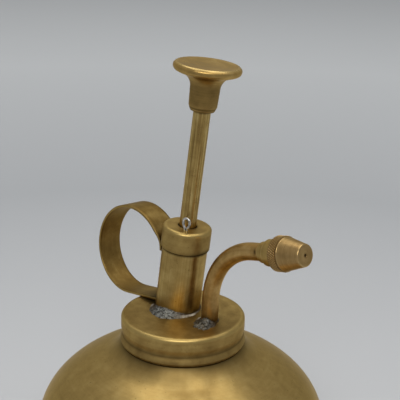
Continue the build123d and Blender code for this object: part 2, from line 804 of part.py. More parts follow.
# Finger loop, bent from strap, its low end cut round the barrel
with BuildPart() as finger_loop:
    with BuildSketch(loop_side):
        with BuildLine() as strap_line:
            Line((tab_tip.X, tab_start), tab_tip)
            TangentArc(tab_tip, loop_join, tangent=(0, 1))
            TangentArc(far_point, loop_join, tangent=(0, 1))
            TangentArc(far_point, strap_leave, tangent=(0, -1))
            Line(strap_leave, strap_end)
        trace(strap_line.line, strap_thickness)
    extrude(amount=strap_width / 2, both=True)
    with BuildSketch(pump_level):
        Circle(barrel_radius + seat_gap)
    extrude(amount=tab_start, mode=Mode.SUBTRACT)
finger_loop.part.label = "finger_loop"
export_step(finger_loop.part, "parts/finger_loop.step")

# Solder round the foot of the barrel, parted by the strap
with BuildPart() as barrel_solder:
    strap_low = strap_end - strap_normal * strap_rest
    strap_high = strap_end + strap_normal * 2 * solder_height
    strap_past = strap_way * -2 * barrel_radius
    with BuildSketch(Plane.XY.offset(lid_top)):
        with Locations((pump_x, pump_y)):
            Circle(barrel_radius + solder_spread)
    extrude(amount=solder_height, taper=solder_slope)
    with BuildSketch(pump_level):
        Circle(barrel_radius + solder_gap)
    extrude(amount=2 * barrel_radius, both=True, mode=Mode.SUBTRACT)
    with BuildSketch(loop_side):
        Polygon(strap_low, strap_low + strap_past, strap_high + strap_past, strap_high, align=None)
    extrude(amount=strap_width / 2 + seat_gap, both=True, mode=Mode.SUBTRACT)
barrel_solder.part.label = "barrel_solder"
export_step(barrel_solder.part, "parts/barrel_solder.step")

# Solder round the foot of the pipe
with BuildPart() as pipe_solder:
    with BuildSketch(Plane.XY.offset(lid_top)):
        with Locations((pipe_x, pipe_y)):
            Circle(pipe_radius + solder_spread)
    extrude(amount=solder_height, taper=solder_slope)
    with BuildSketch(Plane(pipe_base, z_dir=pipe_way)):
        Circle(pipe_radius + solder_gap)
    extrude(amount=2 * pipe_radius, both=True, mode=Mode.SUBTRACT)
pipe_solder.part.label = "pipe_solder"
export_step(pipe_solder.part, "parts/pipe_solder.step")

# Wedge of solder between the barrel and the strap that leaves it
with BuildPart() as loop_solder:
    wedge_low = tab_end + wedge_start
    wedge_high = cap_bottom - seat_gap
    wedge_in = barrel_radius + solder_gap
    bend_radius = strap_turn + strap_thickness / 2
    rise = min(wedge_high - tab_end, bend_radius)
    wedge_out = wedge_in + 0.4 * (bend_radius - sqrt(bend_radius**2 - rise**2))
    with BuildSketch(loop_side):
        Polygon((wedge_in, wedge_low), (wedge_in, wedge_high), (wedge_out, wedge_high), align=None)
    extrude(amount=wedge_width / 2, both=True)
loop_solder.part.label = "loop_solder"
export_step(loop_solder.part, "parts/loop_solder.step")
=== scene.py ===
import logging
import math
from dataclasses import dataclass, replace
from enum import Enum
from typing import Any, Optional, Sequence

import bpy
from mathutils import Matrix, Vector, noise


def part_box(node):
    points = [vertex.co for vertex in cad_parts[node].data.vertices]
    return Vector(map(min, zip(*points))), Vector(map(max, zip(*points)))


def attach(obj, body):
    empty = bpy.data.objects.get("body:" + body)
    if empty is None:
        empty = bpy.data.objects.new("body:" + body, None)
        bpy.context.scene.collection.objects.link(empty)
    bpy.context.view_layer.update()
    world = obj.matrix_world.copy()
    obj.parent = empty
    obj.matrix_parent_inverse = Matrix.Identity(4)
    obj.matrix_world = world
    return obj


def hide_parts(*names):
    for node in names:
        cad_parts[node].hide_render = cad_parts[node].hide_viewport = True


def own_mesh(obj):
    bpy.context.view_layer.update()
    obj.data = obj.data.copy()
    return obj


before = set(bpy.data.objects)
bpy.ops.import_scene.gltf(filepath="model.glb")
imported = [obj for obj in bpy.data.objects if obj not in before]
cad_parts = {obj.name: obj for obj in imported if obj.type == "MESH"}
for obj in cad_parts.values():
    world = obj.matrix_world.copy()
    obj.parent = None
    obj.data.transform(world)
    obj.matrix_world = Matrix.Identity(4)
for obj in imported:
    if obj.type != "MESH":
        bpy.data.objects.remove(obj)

Pair = tuple[float, float]
Material, Mesh, Object = bpy.types.Material, bpy.types.Mesh, bpy.types.Object
Node, Socket, Tree = bpy.types.Node, bpy.types.NodeSocket, bpy.types.NodeTree

LOG = logging.getLogger("mister")
MM = 0.001
LID_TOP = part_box("lid")[1][2]
BARREL_RADIUS = 8.6
TUBE_RADIUS = 3.175
STRAIGHT = 1e-6
ON_AXIS = 1e-7
# A rounding takes at most this share of a side, and its wear or painted shade this share of what is left
CUT_SHARE, REACH_SHARE = 0.45, 0.4
# Share of a corner's mark at the ends of its rounding
EDGE_MARK = 0.6
ARC_STEPS = 6


def linear(shade: str) -> tuple[float, float, float, float]:
    """Turns an sRGB hex colour to linear light.

    Args:
        shade: colour as "#rrggbb".

    Returns:
        Linear red, green, blue and an alpha of 1.
    """
    parts = [int(shade[i : i + 2], 16) / 255 for i in (1, 3, 5)]
    light = [c / 12.92 if c <= 0.04045 else ((c + 0.055) / 1.055) ** 2.4 for c in parts]
    return (light[0], light[1], light[2], 1.0)


def feed(node: Node, inputs: dict[Any, Any]) -> None:
    """Sets or links the inputs of a node.

    Args:
        node: node to feed.
        inputs: value, socket or node for each input, by name or number. A node gives its first output.
    """
    for key, value in inputs.items():
        source = value.outputs[0] if isinstance(value, Node) else value
        if isinstance(source, Socket):
            node.id_data.links.new(source, node.inputs[key])
        else:
            node.inputs[key].default_value = source


def add(tree: Tree, kind: str, inputs: dict[Any, Any], **settings: Any) -> Node:
    """Adds one node to a tree.

    Args:
        tree: shader or geometry tree.
        kind: node type.
        inputs: what feeds it.
        settings: properties of the node itself.

    Returns:
        The new node.
    """
    node = tree.nodes.new(kind)
    for key, value in settings.items():
        setattr(node, key, value)
    feed(node, inputs)
    return node


def per(size: float) -> float:
    """Repeats in a metre of a pattern with a size in millimetres."""
    return 1 / (size * MM)


def clamp(value: float) -> float:
    """Value held between 0 and 1."""
    return min(1.0, max(0.0, value))


def link(item: Object) -> Object:
    """Puts an object in the scene."""
    bpy.context.scene.collection.objects.link(item)
    return item


def lobe(angle: float, centre: float, spread: float) -> float:
    """A soft hill in angle, all in degrees, that is 1 at its centre."""
    away = (angle - centre + 180) % 360 - 180
    return math.exp(-((away / spread) ** 2))


@dataclass(frozen=True)
class Stand:
    """A local frame: a point, the way along a piece's axis and a way across it."""

    origin: Vector
    along: Vector
    across: Vector

    def point(self, x: float, y: float, z: float) -> Vector:
        """Row frame point at local x across, y beside and z along."""
        return self.origin + self.across * x + self.along.cross(self.across) * y + self.along * z

    def local(self, point: Vector) -> Vector:
        """Local coordinates of a row frame point."""
        away = point - self.origin
        return Vector((away.dot(self.across), away.dot(self.along.cross(self.across)), away.dot(self.along)))

    def matrix(self) -> Matrix:
        """Matrix that takes local coordinates to the row frame."""
        turn = Matrix((self.across, self.along.cross(self.across), self.along)).transposed().to_4x4()
        return Matrix.Translation(self.origin) @ turn


UP = Vector((0, 0, 1))
UPRIGHT = Stand(Vector((0, 0, 0)), UP, Vector((1, 0, 0)))
PUMP_LEAN, PUMP_SWAY = math.tan(math.radians(5.6)), math.tan(math.radians(2.7))
PUMP_UP = Vector((PUMP_LEAN, PUMP_SWAY, 1)).normalized()
PUMP = Stand(Vector((-5.6 * MM, 2.1 * MM, LID_TOP)), PUMP_UP, Vector((0, 1, 0)).cross(PUMP_UP).normalized())
PIPE_LEAN, SPRAY_RISE = math.radians(2.5), math.radians(13.0)
PIPE_HEIGHT, PIPE_REACH = 28.9 * MM, 25.0 * MM
PIPE_BASE = Vector((11.1 * MM, 3.2 * MM, LID_TOP))
PIPE_WAY = Vector((math.sin(PIPE_LEAN), 0, math.cos(PIPE_LEAN)))
SPRAY = Vector((math.cos(SPRAY_RISE), 0, math.sin(SPRAY_RISE)))
PIPE_CORNER = PIPE_BASE + PIPE_WAY * PIPE_HEIGHT
NOZZLE = Stand(PIPE_CORNER + SPRAY * PIPE_REACH, SPRAY, Vector((0, 1, 0)))


@dataclass(frozen=True)
class HeatedSeat:
    """A place that was heated for soldering, so that the brass near it browned."""

    centre: Vector
    axis: Vector
    radius: float
    reach: float

    def warmth(self, point: Vector) -> float:
        """Fades with the distance from the seat.

        Args:
            point: row frame point.

        Returns:
            Share of browning there, from 0 to 1.
        """
        away = point - self.centre
        height = away.dot(self.axis)
        spread = (away - self.axis * height).length - self.radius
        return math.exp(-math.hypot(spread, height) / self.reach)


LOOP_TAB = PUMP.point(-9.2 * MM, 0, 21.2 * MM)
# The feet of the barrel and the pipe, and the tab of the loop
HEATED = (
    HeatedSeat(PUMP.origin, PUMP.along, radius=BARREL_RADIUS * MM, reach=4.0 * MM),
    HeatedSeat(PIPE_BASE, PIPE_WAY, radius=3.2 * MM, reach=3.0 * MM),
    HeatedSeat(LOOP_TAB, PUMP.along.cross(PUMP.across), radius=0.0, reach=6.0 * MM),
)
HEAT_PATCHES = 420


def warmth(point: Vector) -> float:
    """Browning from all the heated seats at a row frame point, broken up by noise."""
    most = max(seat.warmth(point) for seat in HEATED)
    return min(1.0, most * (0.9 + 0.5 * noise.noise(point * HEAT_PATCHES)))


@dataclass(frozen=True)
class Corner:
    """One corner of a turned outline in millimetres, with the radius that rounds it.

    A rounded corner is marked as worn and painted paler if it stands out, and gets painted shade if it is
    hollow, unless it has a mark: below 0 paints shade, above 0 paints it paler as wear or as a painted
    highlight.
    """

    radius: float
    height: float
    rounding: float = 0.0
    mark: Optional[float] = None


@dataclass(frozen=True)
class Ring:
    """One ring of a turned mesh: its size and height, how worn it is or how much shade is painted on it, and
    its shift off the axis.
    """

    radius: float
    height: float
    wear_and_shade: float = 0.0
    shift: Pair = (0.0, 0.0)


def tangent_arc(start: Pair, way: Pair, end: Pair, count: int) -> list[Corner]:
    """Points of the arc that leaves start along a direction and reaches end.

    Args:
        start: first point.
        way: direction at the first point.
        end: last point.
        count: number of steps.

    Returns:
        Unrounded corners after start, up to and with end.
    """
    chord = Vector((end[0] - start[0], end[1] - start[1]))
    heading = Vector(way).normalized()
    half = math.atan2(heading.x * chord.y - heading.y * chord.x, heading.dot(chord))
    corners = []
    for step in range(1, count + 1):
        share = step / count
        if abs(half) > STRAIGHT:
            length = chord.length * math.sin(half * share) / math.sin(half)
        else:
            length = chord.length * share
        turn = Matrix.Rotation(half * share, 2)
        point = Vector(start) + (turn @ heading) * length
        corners.append(Corner(point.x, point.y))
    return corners


def ellipse_arc(
    middle: float, wide: float, tall: float, first: float, last: float, count: int
) -> list[Corner]:
    """Points of an upright ellipse on the axis.

    Args:
        middle: height of its centre.
        wide: half width.
        tall: half height.
        first: first angle in degrees.
        last: last angle in degrees.
        count: number of steps.

    Returns:
        Unrounded corners with both ends.
    """
    angles = [math.radians(first + (last - first) * step / count) for step in range(count + 1)]
    return [Corner(wide * math.cos(a), middle + tall * math.sin(a)) for a in angles]


def rounded(corners: Sequence[Corner], closed: bool, step: float = 3.0, reach: float = 0.7) -> list[Ring]:
    """Rounds the corners of an outline, marks worn edges paler and paints shade into hollow creases.

    Args:
        corners: outline with the material on its left.
        closed: whether the last corner joins the first.
        step: longest straight run between rings, in millimetres.
        reach: how far wear and painted shade run past a rounding, in millimetres.

    Returns:
        Rings in metres.
    """
    rings: list[tuple[float, float, float]] = []
    total = len(corners)
    for number, corner in enumerate(corners):
        here = Vector((corner.radius, corner.height))
        inner = closed or 0 < number < total - 1
        if not inner or corner.rounding <= 0:
            rings.append((here.x, here.y, corner.mark or 0.0))
            continue
        before = corners[number - 1]
        after = corners[(number + 1) % total]
        back = Vector((before.radius, before.height)) - here
        onward = Vector((after.radius, after.height)) - here
        opening = back.angle(onward)
        room = CUT_SHARE * min(back.length, onward.length)
        cut = min(corner.rounding / math.tan(opening / 2), room)
        turn = back.x * onward.y - back.y * onward.x
        mark = (1.0 if turn < 0 else -1.0) if corner.mark is None else corner.mark
        lead, trail = ((c.mark or 0.0) if corner.mark is not None else 0.0 for c in (before, after))
        start, end = here + back.normalized() * cut, here + onward.normalized() * cut
        guard = min(reach, REACH_SHARE * (back.length - cut))
        rings.append((*(start + back.normalized() * guard), lead))
        rings.append((*start, mark * EDGE_MARK + lead * (1 - EDGE_MARK)))
        arc = tangent_arc(tuple(start), tuple(-back), tuple(end), ARC_STEPS)
        rings.extend((point.radius, point.height, mark) for point in arc[:-1])
        rings.append((*end, mark * EDGE_MARK + trail * (1 - EDGE_MARK)))
        guard = min(reach, REACH_SHARE * (onward.length - cut))
        rings.append((*(end + onward.normalized() * guard), trail))
    filled: list[Ring] = []
    for number, ring in enumerate(rings):
        filled.append(Ring(ring[0] * MM, ring[1] * MM, ring[2]))
        follower = rings[(number + 1) % len(rings)]
        if number + 1 == len(rings) and not closed:
            break
        gap = math.hypot(follower[0] - ring[0], follower[1] - ring[1])
        pieces = int(gap / step) + 1
        for part in range(1, pieces):
            share = part / pieces
            mix = [a + (b - a) * share for a, b in zip(ring, follower)]
            filled.append(Ring(mix[0] * MM, mix[1] * MM, mix[2]))
    return filled


def stamp(mesh: Mesh, name: str, kind: str, values: Sequence[float]) -> None:
    """Stores one value, or one vector, for each vertex of a mesh.

    Args:
        mesh: mesh to mark.
        name: name of the attribute.
        kind: FLOAT or FLOAT_VECTOR.
        values: all numbers in order.
    """
    layer = mesh.attributes.get(name) or mesh.attributes.new(name, kind, "POINT")
    layer.data.foreach_set("vector" if kind == "FLOAT_VECTOR" else "value", list(values))


def brown(mesh: Mesh, share: float = 1.0) -> None:
    """Marks how far each vertex was browned by soldering, times a share for thin or thick stock."""
    stamp(mesh, "scorch", "FLOAT", [min(1.0, share * warmth(vertex.co)) for vertex in mesh.vertices])


def settle(mesh: Mesh, sharp: float = 38.0) -> None:
    """Shades a mesh smooth.

    Args:
        mesh: mesh to shade.
        sharp: angle in degrees above which an edge stays sharp.
    """
    mesh.shade_smooth()
    mesh.set_sharp_from_angle(angle=math.radians(sharp))
    mesh.update()


def woven(name: str, rows: Sequence[Sequence[Vector]], closed: bool, capped: bool = False) -> Mesh:
    """Joins rows of points, each a ring or a single pole.

    Args:
        name: name of the mesh.
        rows: points of each row in the row frame.
        closed: whether the last row joins the first.
        capped: whether the first and the last row are filled.

    Returns:
        Mesh.
    """
    places = [point for row in rows for point in row]
    numbers = iter(range(len(places)))
    rings = [[next(numbers) for _ in row] for row in rows]
    faces: list[list[int]] = []
    for low, high in zip(rings, rings[1:] + rings[:1] if closed else rings[1:]):
        count = max(len(low), len(high))
        for spot in range(count):
            after = (spot + 1) % count
            turns = ((low, spot), (low, after), (high, after), (high, spot))
            # At a pole two corners are the same vertex
            faces.append(list(dict.fromkeys(ring[turn % len(ring)] for ring, turn in turns)))
    if capped:
        faces += [rings[0][::-1], rings[-1]]
    mesh = bpy.data.meshes.new(name)
    mesh.from_pydata(places, [], faces)
    mesh.validate()
    return mesh


def outward(mesh: Mesh) -> None:
    """Turns the faces of a closed mesh outwards by the sign of its volume.

    Args:
        mesh: mesh to turn.
    """
    volume = 0.0
    for face in mesh.polygons:
        corners = [mesh.vertices[i].co for i in face.vertices]
        for b, c in zip(corners[1:], corners[2:]):
            volume += corners[0].dot(b.cross(c))
    if volume < 0:
        mesh.flip_normals()


def turned(name: str, stand: Stand, rings: Sequence[Ring], closed: bool, sides: int) -> Mesh:
    """Spins an outline round the axis of a stand.

    Args:
        name: name of the mesh.
        stand: frame whose axis it turns about.
        rings: outline.
        closed: whether the last ring joins the first.
        sides: number of vertices round each ring.

    Returns:
        Mesh with its lay, its wear and painted shade, and its scorch marked.
    """
    rows: list[list[Vector]] = []
    lays: list[float] = []
    wear_and_shade_marks: list[float] = []
    run = 0.0
    for number, ring in enumerate(rings):
        if number:
            last = rings[number - 1]
            run += math.hypot(ring.radius - last.radius, ring.height - last.height)
        rows.append([])
        for spot in range(1 if ring.radius < ON_AXIS else sides):
            angle = 2 * math.pi * spot / sides
            x = ring.shift[0] + ring.radius * math.cos(angle)
            y = ring.shift[1] + ring.radius * math.sin(angle)
            rows[-1].append(stand.point(x, y, ring.height))
            lays.extend((x, y, run))
            wear_and_shade_marks.append(ring.wear_and_shade)
    mesh = woven(name, rows, closed)
    stamp(mesh, "lay", "FLOAT_VECTOR", lays)
    stamp(mesh, "wear_and_shade", "FLOAT", wear_and_shade_marks)
    brown(mesh)
    settle(mesh)
    return mesh


def coat(mesh: Mesh, finish: Material) -> None:
    """Gives a mesh one material."""
    mesh.materials.clear()
    mesh.materials.append(finish)


def place(mesh: Mesh, finish: Material, body: str, slot: str, *nodes: str) -> Object:
    """Makes a finished mesh a piece of the object.

    Args:
        mesh: mesh in the row frame, which gives the piece its name.
        finish: its material.
        body: body that it rides on.
        slot: material slot of the record; not used.
        nodes: solids that it stands for.

    Returns:
        The piece.
    """
    piece = link(bpy.data.objects.new(mesh.name, mesh))
    coat(mesh, finish)
    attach(piece, body)
    if nodes:
        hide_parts(*nodes)
    LOG.info("%s: %d faces on %s", piece.name, len(mesh.polygons), body)
    return piece


class Recipe:
    """A geometry node tree with named inputs that is run and baked to a plain mesh."""

    def __init__(self, name: str, sockets: dict[str, str]) -> None:
        """Starts the tree.

        Args:
            name: name of the tree.
            sockets: kind of each named input.
        """
        self.tree = bpy.data.node_groups.new(name, "GeometryNodeTree")
        self.keys: dict[str, str] = {}
        face = self.tree.interface
        for label, kind in {"Geometry": "Geometry", **sockets, "Material": "Material"}.items():
            item = face.new_socket(label, in_out="INPUT", socket_type="NodeSocket" + kind)
            self.keys[label] = item.identifier
        face.new_socket("Mesh", in_out="OUTPUT", socket_type="NodeSocketGeometry")
        self.given = self.tree.nodes.new("NodeGroupInput").outputs

    def close(self, geometry: Node) -> None:
        """Ends the tree in real geometry with its material.

        Args:
            geometry: node that made the geometry.
        """
        real = add(self.tree, "GeometryNodeRealizeInstances", {"Geometry": geometry})
        dress = {"Geometry": real, "Material": self.given["Material"]}
        add(self.tree, "NodeGroupOutput", {0: add(self.tree, "GeometryNodeSetMaterial", dress)})

    def bake(self, name: str, values: dict[str, Any], seed: Optional[Mesh] = None, wall: float = 0.0) -> Mesh:
        """Runs the tree once.

        Args:
            name: name of the new mesh.
            values: value of each named input.
            seed: mesh that the tree starts from, if it needs one.
            wall: thickness given to an open shell, inwards.

        Returns:
            Plain mesh.
        """
        holder = link(bpy.data.objects.new(name, seed or bpy.data.meshes.new(name + "_seed")))
        modifier = holder.modifiers.new(self.tree.name, "NODES")
        modifier.node_group = self.tree
        for label, value in values.items():
            modifier[self.keys[label]] = value
        if wall:
            shell = holder.modifiers.new("Tube wall", "SOLIDIFY")
            shell.thickness, shell.offset = wall, -1.0
        graph = bpy.context.evaluated_depsgraph_get()
        mesh = bpy.data.meshes.new_from_object(holder.evaluated_get(graph))
        holder.modifiers.clear()
        bpy.data.objects.remove(holder)
        mesh.name = name
        return mesh


class RoundStock(Recipe):
    """Tube or wire bent along a line of straight runs with a bend radius at each point."""

    def __init__(self) -> None:
        """Builds the tree."""
        sizes = {"Stock Radius": "Float", "Sides": "Int", "Spacing": "Float", "Solid": "Bool"}
        super().__init__("Bent round stock", sizes)
        tree, given = self.tree, self.given
        line = add(tree, "GeometryNodeMeshToCurve", {"Mesh": given["Geometry"]})
        bend = add(tree, "GeometryNodeInputNamedAttribute", {"Name": "bend"}, data_type="FLOAT")
        fillet = {"Curve": line, "Count": 40, "Radius": bend, "Limit Radius": True}
        bent = add(tree, "GeometryNodeFilletCurve", fillet, mode="POLY")
        even = {"Curve": bent, "Length": given["Spacing"]}
        path = add(tree, "GeometryNodeResampleCurve", even, mode="LENGTH")
        round_bar = {"Resolution": given["Sides"], "Radius": given["Stock Radius"]}
        circle = add(tree, "GeometryNodeCurvePrimitiveCircle", round_bar)
        # The way along the stock and the place in its section stay on the swept surface
        measured = add(tree, "GeometryNodeCaptureAttribute", {"Geometry": path})
        measured.capture_items.new("FLOAT", "Run")
        feed(measured, {"Run": add(tree, "GeometryNodeSplineParameter", {}).outputs["Length"]})
        spotted = add(tree, "GeometryNodeCaptureAttribute", {"Geometry": circle})
        spotted.capture_items.new("VECTOR", "Spot")
        feed(spotted, {"Spot": add(tree, "GeometryNodeInputPosition", {})})
        sweep = {"Curve": measured, "Profile Curve": spotted, "Fill Caps": given["Solid"]}
        tube = add(tree, "GeometryNodeCurveToMesh", sweep)
        spot = add(tree, "ShaderNodeSeparateXYZ", {0: spotted.outputs["Spot"]}).outputs
        way = {"X": spot["X"], "Y": spot["Y"], "Z": measured.outputs["Run"]}
        lay = {"Geometry": tube, "Name": "lay", "Value": add(tree, "ShaderNodeCombineXYZ", way)}
        store = "GeometryNodeStoreNamedAttribute"
        self.close(add(tree, store, lay, data_type="FLOAT_VECTOR", domain="POINT"))

    def form(
        self,
        name: str,
        route: Sequence[tuple[Vector, float]],
        radius: float,
        sides: int,
        spacing: float,
        finish: Material,
        wall: float = 0.0,
    ) -> Mesh:
        """Bends one piece of stock.

        Args:
            name: name of the mesh.
            route: points of the line and the bend radius at each.
            radius: radius of the stock.
            sides: number of sides of the stock.
            spacing: distance between its rings.
            finish: material.
            wall: wall of a tube, or 0 for solid wire.

        Returns:
            Mesh with its lay, its wear and painted shade, and its scorch marked.
        """
        line = bpy.data.meshes.new(name + "_line")
        line.from_pydata([point for point, _ in route], [(i, i + 1) for i in range(len(route) - 1)], [])
        stamp(line, "bend", "FLOAT", [bend for _, bend in route])
        sizes = {"Stock Radius": radius, "Sides": sides, "Spacing": spacing, "Solid": not wall}
        mesh = self.bake(name, {**sizes, "Material": finish}, line, wall)
        stamp(mesh, "wear_and_shade", "FLOAT", [0.0] * len(mesh.vertices))
        brown(mesh)
        settle(mesh, sharp=60.0)
        return mesh


class Coil(Recipe):
    """Wire wound on a cylinder, for the return spring and the neck thread."""

    def __init__(self) -> None:
        """Builds the tree."""
        sizes = dict.fromkeys(("Turns", "Coil Radius", "Height", "Wire Radius"), "Float")
        super().__init__("Wound wire", {**sizes, "Wire Sides": "Int"})
        tree, given = self.tree, self.given
        ends = {"Start Radius": given["Coil Radius"], "End Radius": given["Coil Radius"]}
        spiral = {"Resolution": 36, "Rotations": given["Turns"], "Height": given["Height"], **ends}
        path = add(tree, "GeometryNodeCurveSpiral", spiral)
        round_wire = {"Resolution": given["Wire Sides"], "Radius": given["Wire Radius"]}
        wire = add(tree, "GeometryNodeCurvePrimitiveCircle", round_wire)
        sweep = {"Curve": path, "Profile Curve": wire, "Fill Caps": True}
        self.close(add(tree, "GeometryNodeCurveToMesh", sweep))

    def wind(
        self, name: str, turns: float, radius: float, height: float, wire: float, sides: int, finish: Material
    ) -> Mesh:
        """Winds one wire round Z, up from the origin.

        Args:
            name: name of the mesh.
            turns: number of turns.
            radius: radius of the coil in millimetres.
            height: height of the wire's middle line in millimetres.
            wire: radius of the wire in millimetres.
            sides: number of sides of the wire.
            finish: material.

        Returns:
            Mesh.
        """
        sizes = {"Coil Radius": radius * MM, "Height": height * MM, "Wire Radius": wire * MM}
        return self.bake(name, {"Turns": turns, **sizes, "Wire Sides": sides, "Material": finish})


class GripRidges(Recipe):
    """Crossed ridges of a knurled ring, set round a circle."""

    def __init__(self) -> None:
        """Builds the tree."""
        sizes = dict.fromkeys(("Ring Radius", "Ridge Radius", "Ridge Length", "Slant"), "Float")
        super().__init__("Knurled grip", {"Count": "Int", **sizes})
        tree, given = self.tree, self.given
        circle = {"Vertices": given["Count"], "Radius": given["Ring Radius"]}
        ring = add(tree, "GeometryNodeMeshCircle", circle)
        bar = {"Vertices": 4, "Radius": given["Ridge Radius"], "Depth": given["Ridge Length"]}
        ridge = add(tree, "GeometryNodeMeshCylinder", bar)
        spot = add(tree, "GeometryNodeInputPosition", {})
        facing = add(tree, "FunctionNodeAlignRotationToVector", {"Vector": spot}, axis="X")
        both = add(tree, "GeometryNodeJoinGeometry", {})
        for side in (1.0, -1.0):
            lean = add(tree, "ShaderNodeMath", {0: given["Slant"], 1: side}, operation="MULTIPLY")
            tilt = {"Axis": (1.0, 0.0, 0.0), "Angle": lean}
            slant = add(tree, "FunctionNodeAxisAngleToRotation", tilt)
            turns = {"Rotation": facing, "Rotate By": slant}
            turn = add(tree, "FunctionNodeRotateRotation", turns, rotation_space="LOCAL")
            row = {"Points": ring, "Instance": ridge, "Rotation": turn}
            feed(both, {0: add(tree, "GeometryNodeInstanceOnPoints", row)})
        self.close(both)


def blank(name: str) -> tuple[Material, Tree]:
    """Starts a material.

    Args:
        name: name of the material.

    Returns:
        The material and its node tree.
    """
    made = bpy.data.materials.new(name)
    made.use_nodes = True
    return made, made.node_tree


class Grain(Enum):
    """How a brass surface was made, as the size of its marks in millimetres along x, y and z of its lay."""

    SPUN = (30.0, 30.0, 0.9)
    TURNED = (16.0, 16.0, 0.45)
    DRAWN = (0.7, 0.7, 30.0)
    ROLLED = (24.0, 0.7, 6.0)


@dataclass(frozen=True)
class AgedBrass:
    """Yellow brass left bare: satin, pale gold where rubbed and where a highlight is painted, dark where
    shade is painted into creases, olive brown where air and heat toned it.
    """

    name: str
    grain: Grain
    fresh: str = "#cdb274"
    toned: str = "#b3965a"
    browned: str = "#957a47"
    scorched: str = "#362814"
    # Dark colour of the specks and of the shade painted into creases
    grime_and_shade: str = "#2b2010"
    glancing: str = "#fbeecf"
    roughness: float = 0.4
    grain_depth: float = 0.006
    grain_tone: float = 0.25
    blotch_tone: float = 0.3
    cloud_tone: float = 0.35
    uneven: float = 0.16
    brushing: float = 0.0
    cloud_mm: float = 22.0
    blotch_mm: float = 4.0
    speck_mm: float = 0.7

    def material(self) -> Material:
        """Builds the material.

        Returns:
            Material that reads Object coordinates and the lay, the wear and painted shade, and the scorch of
            a piece.
        """
        made, tree = blank(self.name)
        where = add(tree, "ShaderNodeTexCoord", {}).outputs["Object"]
        lay = add(tree, "ShaderNodeAttribute", {}, attribute_name="lay").outputs["Vector"]
        wear_and_shade = add(tree, "ShaderNodeAttribute", {}, attribute_name="wear_and_shade").outputs["Fac"]
        scorch = add(tree, "ShaderNodeAttribute", {}, attribute_name="scorch").outputs["Fac"]
        # Clouds of tone, smaller blotches, and grain at the size of the tool marks
        clouds = {"Vector": where, "Scale": per(self.cloud_mm), "Detail": 2.0}
        cloud = add(tree, "ShaderNodeTexNoise", clouds)
        blotches = {"Vector": where, "Scale": per(self.blotch_mm), "Detail": 5.0, "Roughness": 0.6}
        blotch = add(tree, "ShaderNodeTexNoise", blotches)
        sizes = {0: lay, 1: tuple(per(size) for size in self.grain.value)}
        marks = add(tree, "ShaderNodeVectorMath", sizes, operation="MULTIPLY")
        lines = add(tree, "ShaderNodeTexNoise", {"Vector": marks, "Scale": 1.0, "Detail": 3.0})
        tone: Any = 0.5 - 0.5 * (self.blotch_tone + self.cloud_tone + self.grain_tone)
        for part, gain in ((blotch, self.blotch_tone), (cloud, self.cloud_tone), (lines, self.grain_tone)):
            tone = add(tree, "ShaderNodeMath", {0: part, 1: gain, 2: tone}, operation="MULTIPLY_ADD")
        ramp = add(tree, "ShaderNodeValToRGB", {"Fac": tone})
        stops = ramp.color_ramp.elements
        stops[0].position, stops[0].color = 0.36, linear(self.browned)
        stops[1].position, stops[1].color = 0.66, linear(self.fresh)
        stops.new(0.5).color = linear(self.toned)
        # Marks above 0 paint rims paler, as wear from hands and as a painted highlight; marks below 0 paint
        # shade into creases in the grime colour
        rubbed_and_sheen = add(tree, "ShaderNodeMath", {0: wear_and_shade, 1: 0.55}, operation="MULTIPLY", use_clamp=True)
        crease_shade = add(tree, "ShaderNodeMath", {0: wear_and_shade, 1: -0.8}, operation="MULTIPLY", use_clamp=True)
        # Scattered dark specks under a millimetre across
        specks = {"Vector": where, "Scale": per(self.speck_mm), "Detail": 1.0}
        dust = add(tree, "ShaderNodeTexNoise", specks)
        speck = add(tree, "ShaderNodeMapRange", {0: dust, 1: 0.7, 2: 0.78, 3: 0.0, 4: 0.4})
        shade_and_specks = add(tree, "ShaderNodeMath", {0: crease_shade, 1: speck}, operation="MAXIMUM")
        # Heat from soldering leaves a dark brown tint, under the paler rims and under the painted shade and
        # specks
        colour = ramp.outputs[0]
        for share, shade in ((scorch, self.scorched), (rubbed_and_sheen, self.fresh), (shade_and_specks, self.grime_and_shade)):
            layer = {"Factor": share, 6: colour, 7: linear(shade)}
            colour = add(tree, "ShaderNodeMix", layer, data_type="RGBA").outputs[2]
        rough: Any = self.roughness - self.uneven / 2
        for part, gain in ((blotch, self.uneven), (shade_and_specks, 0.3), (rubbed_and_sheen, -0.12), (scorch, 0.1)):
            rough = add(tree, "ShaderNodeMath", {0: part, 1: gain, 2: rough}, operation="MULTIPLY_ADD")
        relief = add(tree, "ShaderNodeMath", {0: blotch, 1: 0.5, 2: lines}, operation="MULTIPLY_ADD")
        height = {"Height": relief, "Strength": 0.6, "Distance": self.grain_depth * MM}
        bump = add(tree, "ShaderNodeBump", height)
        shader = tree.nodes["Principled BSDF"]
        feed(shader, {"Base Color": colour, "Metallic": 1.0, "Roughness": rough, "Normal": bump})
        feed(shader, {"Specular Tint": linear(self.glancing)})
        if self.brushing:
            # Rings left by the spinning tool draw a highlight out across them
            axis = {0: (0.0, 0.0, 1.0), 1: where}
            rings = add(tree, "ShaderNodeVectorMath", axis, operation="CROSS_PRODUCT")
            feed(shader, {"Tangent": rings, "Anisotropic": self.brushing, "Anisotropic Rotation": 0.25})
        return made


